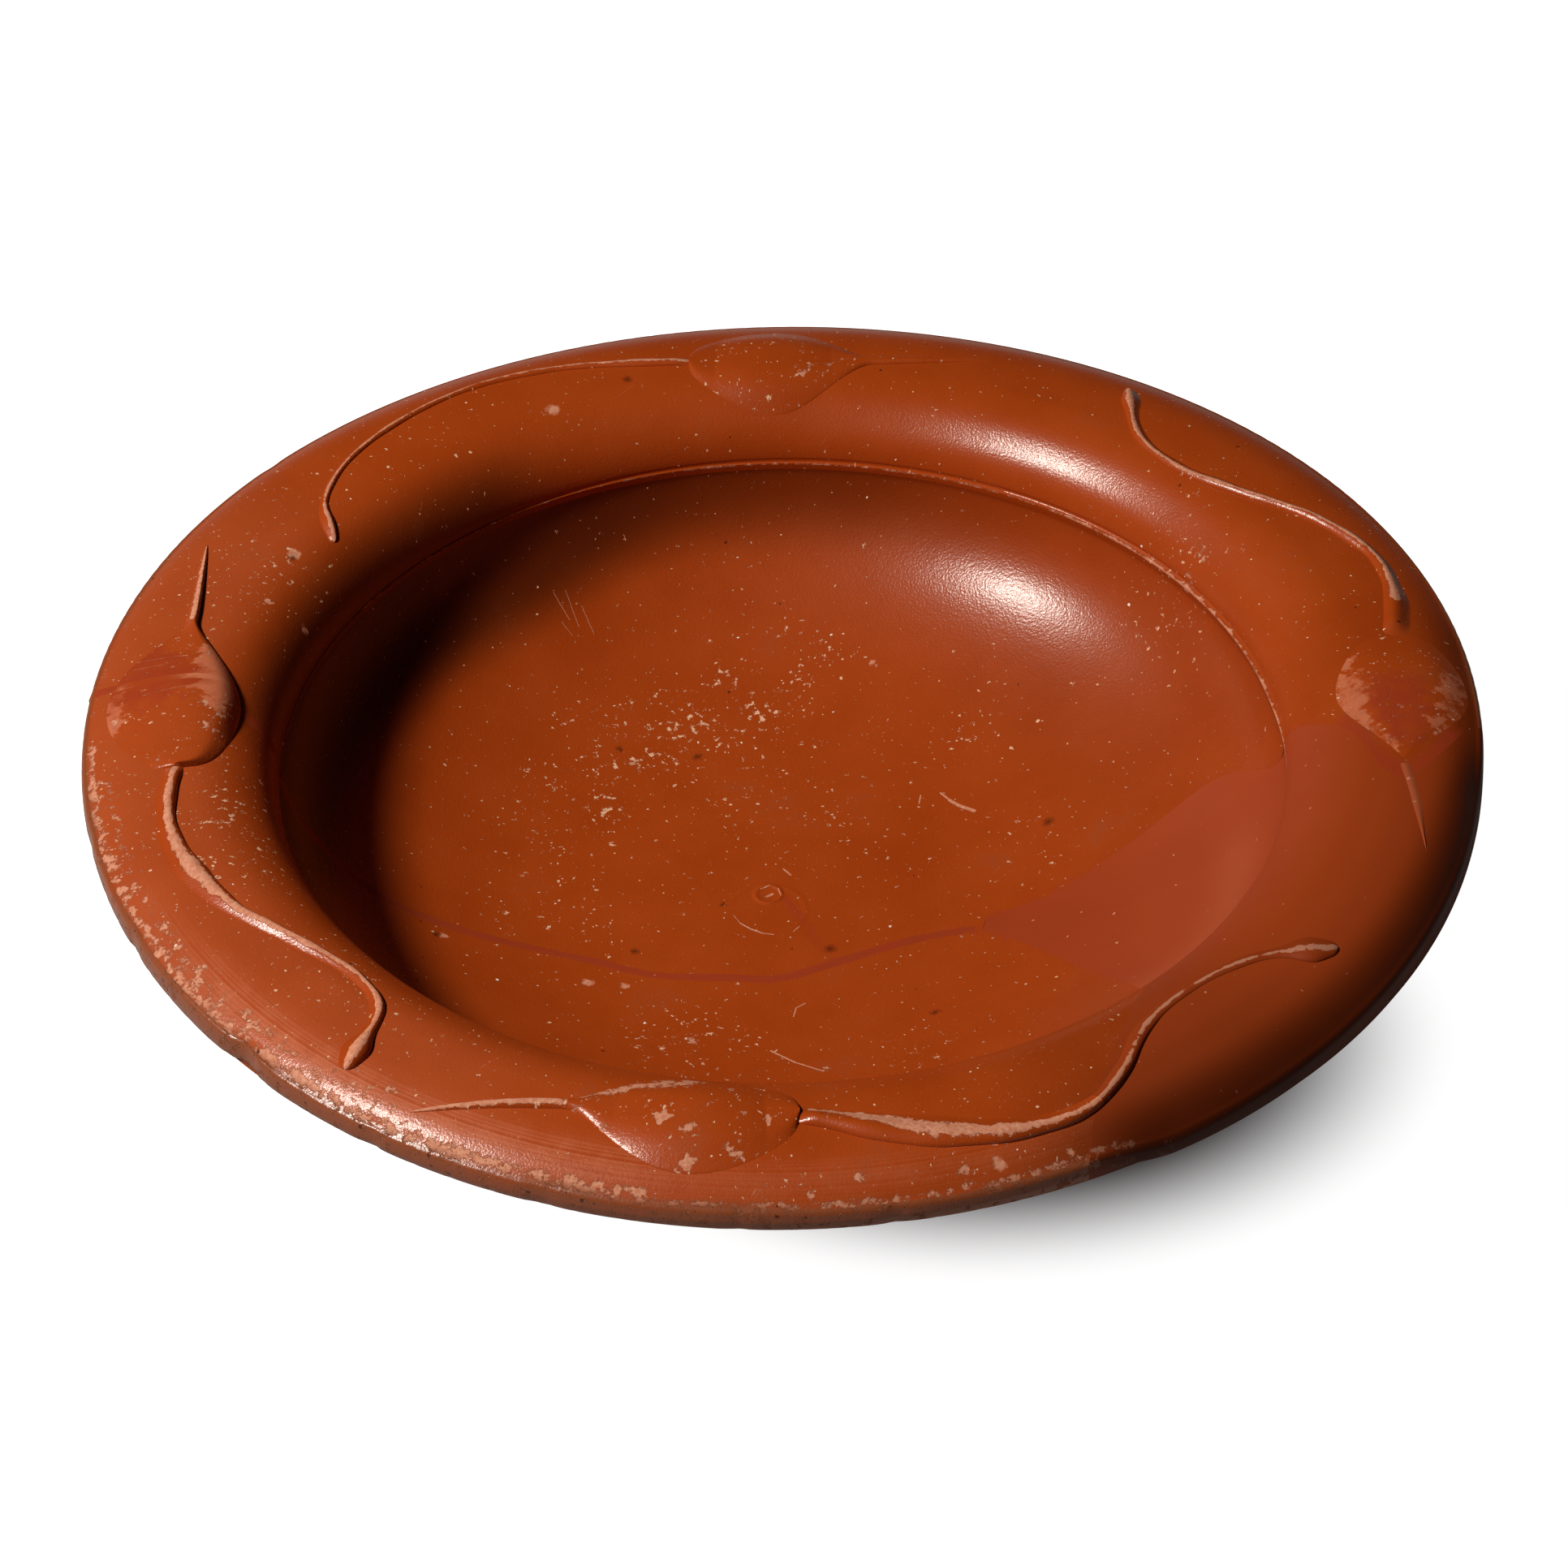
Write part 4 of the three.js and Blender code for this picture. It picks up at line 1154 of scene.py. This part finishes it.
def mend_band(name, node, slot, path):
    """A band along a path on the plan, through the body: its upper and lower faces follow the
    body's own, each with a low crown of a parabola across it."""
    s = np.linspace(-1, 1, 9)
    across = np.concatenate([s, s[::-1]])
    on_top = np.repeat([True, False], len(s))
    spot = path[:, None, :] + sideways(path)[:, None, :] * (across * MEND_HALF_WIDTH)[:, None]
    x, y = spot[..., 0], spot[..., 1]
    r = np.hypot(x, y)
    crown = MEND_PROUD * (1.3 * (1 - across ** 2) - 0.3)
    z = np.where(on_top, top_height(r) + crown, low_height(r) - crown)
    points = np.stack([x, y, z + warp(x, y)], axis=-1)
    faces = bar_faces(*points.shape[:2])
    make_piece(name, node, slot, points, faces, {"wear": 0.0, "flat": flat_place(x, y)})


inside_rim = (break_r < RIM_R) & (np.arange(EDGE_COUNT) < EDGE_COUNT - BREAK_BEYOND_TIP)
mend_band("mend_line", "break_filler", "retouch", break_points[inside_rim][::5])


# The foot ring

def foot_arc(name, node, slot, start, end, columns):
    """A part of the foot ring: its section, flat below with rounded edges and following the base
    above, carried round from the start edge to the end edge."""
    arc = np.linspace(0, np.pi / 2, 5)
    inner = FOOT_R - FOOT_WIDTH + FOOT_TAPER
    outer = FOOT_R - FOOT_TAPER
    top_r = np.linspace(FOOT_R, FOOT_R - FOOT_WIDTH, 8)
    r = np.concatenate([inner + FOOT_ROUND * (1 - np.sin(arc[::-1])),
                        outer - FOOT_ROUND * (1 - np.sin(arc)), top_r])
    z = np.concatenate([FOOT_ROUND * (1 - np.cos(arc[::-1])),
                        FOOT_ROUND * (1 - np.cos(arc)), low_height(top_r) + FOOT_LUTE])
    share = np.linspace(0, 1, columns)[:, None]
    az = np.radians(start(r)[None, :] + (end(r) - start(r))[None, :] * share)
    x, y = r * np.cos(az), r * np.sin(az)
    points = np.stack([x, y, np.broadcast_to(z, az.shape)], axis=-1)
    marks = {"wear": np.where(z < 0.4, 0.75, 0.2)[None, :], "grime": 0.3, "speck": 0.25,
             "flat": flat_place(x, y, z[None, :])}
    make_piece(name, node, slot, points, bar_faces(columns, len(r)), marks)


foot_arc("foot_back", "foot_ring_back", "red_gloss", fill_back, left_edge_round, 260)
foot_arc("foot_front", "foot_ring_front", "red_gloss", left_edge, fill_front, 180)
foot_arc("foot_fill", "foot_ring_fill", "painted_plaster", fill_front, fill_back, 40)
foot_arc("foot_mend", "foot_ring_filler", "retouch", lambda r: left_edge(r) - FOOT_MEND_TURN,
         lambda r: left_edge(r) + FOOT_MEND_TURN, 6)


# The trailed slip

def trail(name, node, slot, path, half_width, height, dome, marks, part=WHOLE, on_fill=False):
    """A ridge of slip along a path on the rim: across it the upper side is a dome of the given
    height standing on the rim's own normal, and the lower side lies a little inside the rim.
    part gives the shares of the path between which this piece runs."""
    share = np.linspace(0, 1, len(path))
    keep = (share >= part[0] - 1e-9) & (share <= part[1] + 1e-9)
    path, side, share = path[keep], sideways(path)[keep], share[keep][:, None]
    half_width, height = half_width[keep][:, None], height[keep][:, None]
    s = np.sin(np.linspace(-np.pi / 2, np.pi / 2, TRAIL_ACROSS))
    across = np.concatenate([s, s[::-1]])[None, :]
    on_top = np.repeat([True, False], TRAIL_ACROSS)[None, :]
    spot = path[:, None, :] + side[:, None, :] * (across * half_width)[..., None]
    x, y = spot[..., 0], spot[..., 1]
    point, normal = seat(x, y)
    rise = np.where(on_top, height * dome(across, share) - TRAIL_SETTLE, -TRAIL_ROOT)
    points = point + normal * rise[..., None]
    if on_fill:
        points[..., 2] -= fill_sink(x, y)
    shown = marks(across + 0 * x, share + 0 * x, x, y)
    shown["flat"] = flat_place(x, y) + TRAIL_FLAT
    make_piece(name, node, slot, points, bar_faces(*points.shape[:2]), shown)


def leaning(lean, crest_shift, square, firm=(1.0, 1.0)):
    """A section across a trail, 1 at the crest and 0 at both feet. The crest stands towards the
    side that lean points to, that flank falls steeply as a rounded square, and the other one
    runs out softly as half a cosine; firm says how steep the edges are at the start and the end."""
    crest = crest_shift * lean

    def dome(s, way):
        """Height at s across, -1 to 1, and at a share of the way."""
        down = np.where(s > crest, (s - crest) / (1 - crest), (crest - s) / (1 + crest))
        down = np.clip(down, 0, 1)
        steep = np.sqrt(1 - down ** square)
        soft = 0.5 + 0.5 * np.cos(np.pi * down ** (square / 2))
        share = np.where(s > crest, (1 + lean) / 2, (1 - lean) / 2)
        share = share * (firm[0] + (firm[1] - firm[0]) * ease((way - 0.2) / 0.4))
        return share * steep + (1 - share) * soft

    return dome


def taper(share, length):
    """1 until the last length of the way, then falling evenly to 0."""
    return np.clip((1 - share) / length, 0, 1)


def leaf_shape(places, rise, heel):
    """Path, half width and height of a leaf and the share at which its tip lies: it swells from
    its heel to a belly and narrows to its tip, by a power of a sine of the share of the way, and
    where a fourth place follows the tip a thin tail trails on to it."""
    path = plan_curve(places, LEAF_STEPS + 1)
    share = np.linspace(0, 1, LEAF_STEPS + 1)
    tip = plan_points(places)[2]
    tip_share = share[np.argmin(np.linalg.norm(path - tip, axis=1))]
    u = np.clip(share / tip_share, 0, 1)
    belly = np.abs(np.sin(np.pi * u ** 0.8))
    swell = belly ** (heel + 0.95 * u)
    thin = np.sqrt(taper(share, 0.33)) if len(places) > 3 else 0 * share
    half_width = np.cbrt((LEAF_WIDTH * swell) ** 3 + (TAIL_WIDTH * thin) ** 3) / 2
    height = rise * np.maximum(LEAF_HEIGHT * belly ** 1.4, TAIL_HEIGHT * thin)
    return path, half_width, height, tip_share


def stem_shape(heel, places, stem):
    """Path, half width and height of a stem: it starts beside the leaf's heel, swells once as a
    bell, thins evenly towards its end, wavers by two sines and ends in a small blob."""
    clear = math.degrees(STEM_CLEAR / (MOUTH_R + heel[1] * (RIM_R - MOUTH_R)))
    path = plan_curve([[heel[0] + clear, heel[1]], *places], STEM_STEPS + 1)
    share = np.linspace(0, 1, STEM_STEPS + 1)
    girth = stem["thick"] * (0.95 - 0.3 * share + stem["blob"] * hill(share, 0.96, 0.035))
    girth = girth * (1 + 0.07 * np.sin(share * 23) + 0.05 * np.sin(share * 61 + 1))
    ends = np.sqrt(np.clip(1 - (np.clip(share - 0.985, 0, 1) / 0.015) ** 2, 0, 1))
    begin = np.sqrt(np.clip(1 - (np.clip(0.02 - share, 0, 1) / 0.02) ** 2, 0.02, 1))
    wide = girth + stem["swell"] * hill(share, stem["swell_at"], 0.12)
    height = STEM_HEIGHT * girth * ends * ease(share / 0.05 + 0.1)
    return path, STEM_SPREAD * wide * ends * begin, height


def stem_wear(stem, on_fill=False):
    """Marks of a stem: worn pale along the crest, more broadly where it swells, and dulled with
    grime near its start; on the fill it has the rim's redder paint and a little painted shade."""
    def marks(s, share, x, y):
        """Marks at s across, at a share of the way, and at x, y on the plan."""
        broad = 0.46 + 0.2 * stem["swell"] * hill(share, stem["swell_at"], 0.14)
        uneven = 0.1 * np.sin(share * 37 + 2) + 0.08 * np.sin(share * 83)
        crest = hill(s, 0.3 * stem["lean"] + stem["drift"] * hill(share, 0.06, 0.12), broad)
        ends = ease((share - stem["start"]) / 0.04) * (1 + 0.3 * hill(share, 0.96, 0.04))
        found = {"wear": (stem["pale"] + uneven) * crest * ends, "speck": 0.2,
                 "grime": stem["dull"] * ease((0.25 - share) / 0.2)}
        return {**found, "cover": 1.0, "painted_shade": 0.25} if on_fill else found

    return marks


def shaken(x, y):
    """Places moved by up to a millimetre in a wavy way, so that round patches get ragged edges."""
    dx = 0.6 * np.sin(1.9 * y + 0.8 * np.sin(1.3 * x)) + 0.4 * np.sin(4.3 * y - 2.7 * x)
    dy = 0.6 * np.sin(1.7 * x + 0.9 * np.sin(1.1 * y) + 1) + 0.4 * np.sin(3.9 * x + 2.3 * y)
    return x + dx, y + dy


def leaf_wear(side, leaf, tip_share, mended):
    """Marks of a leaf: worn in patches, the front one along an edge too, and pale along the crest
    of its tail, with a faint painted sheen on the left one; a mended strip is worn right through
    to what lies under the paint."""
    def marks(s, share, x, y):
        """Marks at s across, at a share of the way, and at x, y on the plan."""
        x, y = shaken(x, y)
        wear = patches(x, y, LEAF_WEAR[side])
        if side == "front":
            along = ease((share - 0.15) / 0.15) * ease((tip_share - share) / 0.1 + 1)
            wear = np.maximum(wear, 0.7 * hill(s, -0.66, 0.34) * along)
        tail = leaf["tail"] * ease((share - tip_share + 0.07) / 0.06)
        wear = np.maximum(wear, tail * hill(s, 0.3 * leaf["lean"], 0.8))
        cover = patches(x, y, LEAF_PAINT[side]) if side in LEAF_PAINT else 0 * x
        rub_and_sheen = patches(x, y, LEAF_RUB[side]) if side in LEAF_RUB else 0 * x
        if mended:
            wear = np.maximum(wear, 0.85 * rub_and_sheen)
        # a faint painted sheen on the left leaf, as on the rim round it
        painted_sheen = 0.05 if side == "left" else 0.0
        return {"wear": wear, "cover": cover, "rub_and_sheen": rub_and_sheen, "painted_sheen": painted_sheen, "speck": 0.35}

    return marks


def faded_strip(s, share, x, y):
    """Marks of the restored tail: an even strip of thin brownish paint, fainter at its end, under a
    little painted shade.
    """
    fade = 1 - 0.6 * ease((share - 0.4) / 0.6)
    return {"wear": 0.4 * fade, "rub_and_sheen": 0.3 * fade, "cover": 1.0, "painted_shade": 0.12}


for side, motif in MOTIFS.items():
    leaf, stem = LEAVES[side], STEMS[side]
    *form, tip_share = leaf_shape(motif["leaf"], leaf["rise"], leaf["heel"])
    section = leaning(leaf["lean"], leaf["crest"], leaf["square"], leaf["firm"])
    parts = [(f"leaf_{side}", f"{side}_leaf", "trailed_slip", WHOLE)]
    if side == "left":
        near, far = BREAK_IN_LEAF - MEND_IN_LEAF, BREAK_IN_LEAF + MEND_IN_LEAF
        parts = [("leaf_left_heel", "left_leaf_heel", "trailed_slip", (0.0, near)),
                 ("leaf_left_mend", "left_leaf_filler", "retouch", (near, far)),
                 ("leaf_left_tip", "left_leaf_tip", "trailed_slip", (far, 1.0))]
    for name, node, slot, part in parts:
        marks = leaf_wear(side, leaf, tip_share, slot == "retouch")
        trail(name, node, slot, *form, section, marks, part)

    path, half, height = stem_shape(motif["leaf"][0], motif["stem"], stem)
    section = leaning(stem["lean"], STEM_CREST, 2)
    cut = 1.0
    if side == "front":
        radius, azimuth = polar(path, 1)
        cut = float(np.argmax(azimuth > fill_front(radius))) / STEM_STEPS
    trail(f"stem_{side}", f"{side}_stem", "trailed_slip", path, half, height, section,
          stem_wear(stem), (0.0, cut))
    if side == "front":
        low = height * (1 - 0.55 * ease((np.linspace(0, 1, len(path)) - cut) / 0.25))
        marks = stem_wear({**stem, "pale": RESTORED_PALE}, on_fill=True)
        trail("stem_front_restored", "front_stem_restored", "painted_plaster", path, half, low,
              section, marks, (cut, 1.0), on_fill=True)

tail_path = plan_curve(RIGHT_TAIL, TAIL_STEPS + 1)
tail_share = np.linspace(0, 1, TAIL_STEPS + 1)
tail_half = 0.4 * TAIL_WIDTH * taper(tail_share, 0.5)
tail_height = 0.14 * TAIL_HEIGHT * taper(tail_share, 0.1) + TRAIL_SETTLE
trail("tail_right_restored", "right_leaf_tail_restored", "painted_plaster", tail_path, tail_half,
      tail_height, leaning(0.3, 0.4, 2), faded_strip, on_fill=True)


# Floor, light and camera

def studio():
    """A wide pale floor that glows to the camera, so that it reads as white, except in a soft oval
    of shade under the dish; from below it is clear. One soft lamp stands at the left, and the
    world gives a faint even light and looks white."""
    bpy.ops.mesh.primitive_plane_add(size=FLOOR_SIZE, location=(0, 0, -FLOOR_BELOW))
    floor = bpy.context.object
    floor.name = "studio_floor"
    material = bpy.data.materials.new("pale_floor")
    material.use_nodes = True
    tree = material.node_tree
    tree.nodes.clear()
    seen = add(tree, "LightPath", out="Is Camera Ray")
    place = add(tree, "TexCoord", out="Object")
    away = add(tree, "VectorMath", {0: place, 1: SHADE_MIDDLE}, operation="SUBTRACT")
    away = add(tree, "VectorMath", {0: away, 1: SHADE_STRETCH}, operation="MULTIPLY")
    away = add(tree, "VectorMath", {0: away}, operation="LENGTH", out="Value")
    strength = add(tree, "MapRange", {0: away, 1: SHADE_INNER, 2: SHADE_OUTER},
                   interpolation_type="SMOOTHSTEP")
    matt = add(tree, "BsdfDiffuse", {"Color": FLOOR_GREY})
    glow = add(tree, "Emission", {"Color": WHITE, "Strength": strength})
    both = add(tree, "AddShader", {0: matt, 1: glow})
    mixed = add(tree, "MixShader", {0: seen, 1: matt, 2: both})
    below = add(tree, "NewGeometry", out="Backfacing")
    clear = add(tree, "BsdfTransparent")
    mixed = add(tree, "MixShader", {0: below, 1: mixed, 2: clear})
    add(tree, "OutputMaterial", {"Surface": mixed})
    floor.data.materials.append(material)

    world = bpy.data.worlds.new("studio_world")
    world.use_nodes = True
    bpy.context.scene.world = world
    tree = world.node_tree
    tree.nodes.clear()
    seen = add(tree, "LightPath", out="Is Camera Ray")
    strength = add(tree, "MapRange", {0: seen, 3: WORLD_LIGHT, 4: 1.0})
    back = add(tree, "Background", {"Color": WHITE, "Strength": strength})
    add(tree, "OutputWorld", {"Surface": back})

    lamp = bpy.data.lights.new("soft_lamp", "AREA")
    lamp.shape = "DISK"
    lamp.size = LAMP_SIZE
    lamp.energy = LAMP_POWER
    lamp.color = LAMP_COLOUR
    lamp_object = bpy.data.objects.new("soft_lamp", lamp)
    bpy.context.collection.objects.link(lamp_object)
    turn, lift = math.radians(LAMP_TURN), math.radians(LAMP_HEIGHT)
    out = math.cos(lift)
    way = Vector((math.cos(turn) * out, math.sin(turn) * out, math.sin(lift)))
    lamp_object.location = LAMP_TARGET + way * LAMP_DISTANCE
    lamp_object.rotation_euler = (-way).to_track_quat("-Z", "Y").to_euler()


def camera():
    """Camera on the front side, far off with a long lens, aimed a little below the mouth's middle
    and rolled by a degree."""
    lift = math.radians(VIEW_HEIGHT)
    back = Vector((0, -math.cos(lift), math.sin(lift)))
    up = Vector((0, math.sin(lift), math.cos(lift)))
    middle = Vector((0, 0, MOUTH_Z))
    eye = middle + back * VIEW_DISTANCE
    aim = middle + Vector((1, 0, 0)) * AIM_RIGHT + up * AIM_UP
    lens = bpy.data.cameras.new("camera")
    lens.sensor_width = SENSOR
    lens.lens = SENSOR * FOCAL_SHARE
    lens.clip_start = 0.01
    lens.clip_end = 50
    view = bpy.data.objects.new("camera", lens)
    bpy.context.collection.objects.link(view)
    turn = (aim - eye).to_track_quat("-Z", "Y").to_matrix().to_4x4()
    turn = turn @ Matrix.Rotation(math.radians(VIEW_ROLL), 4, "Z")
    view.matrix_world = Matrix.Translation(eye * MM) @ turn
    bpy.context.scene.camera = view


studio()
camera()
bpy.context.scene.view_settings.view_transform = "Standard"
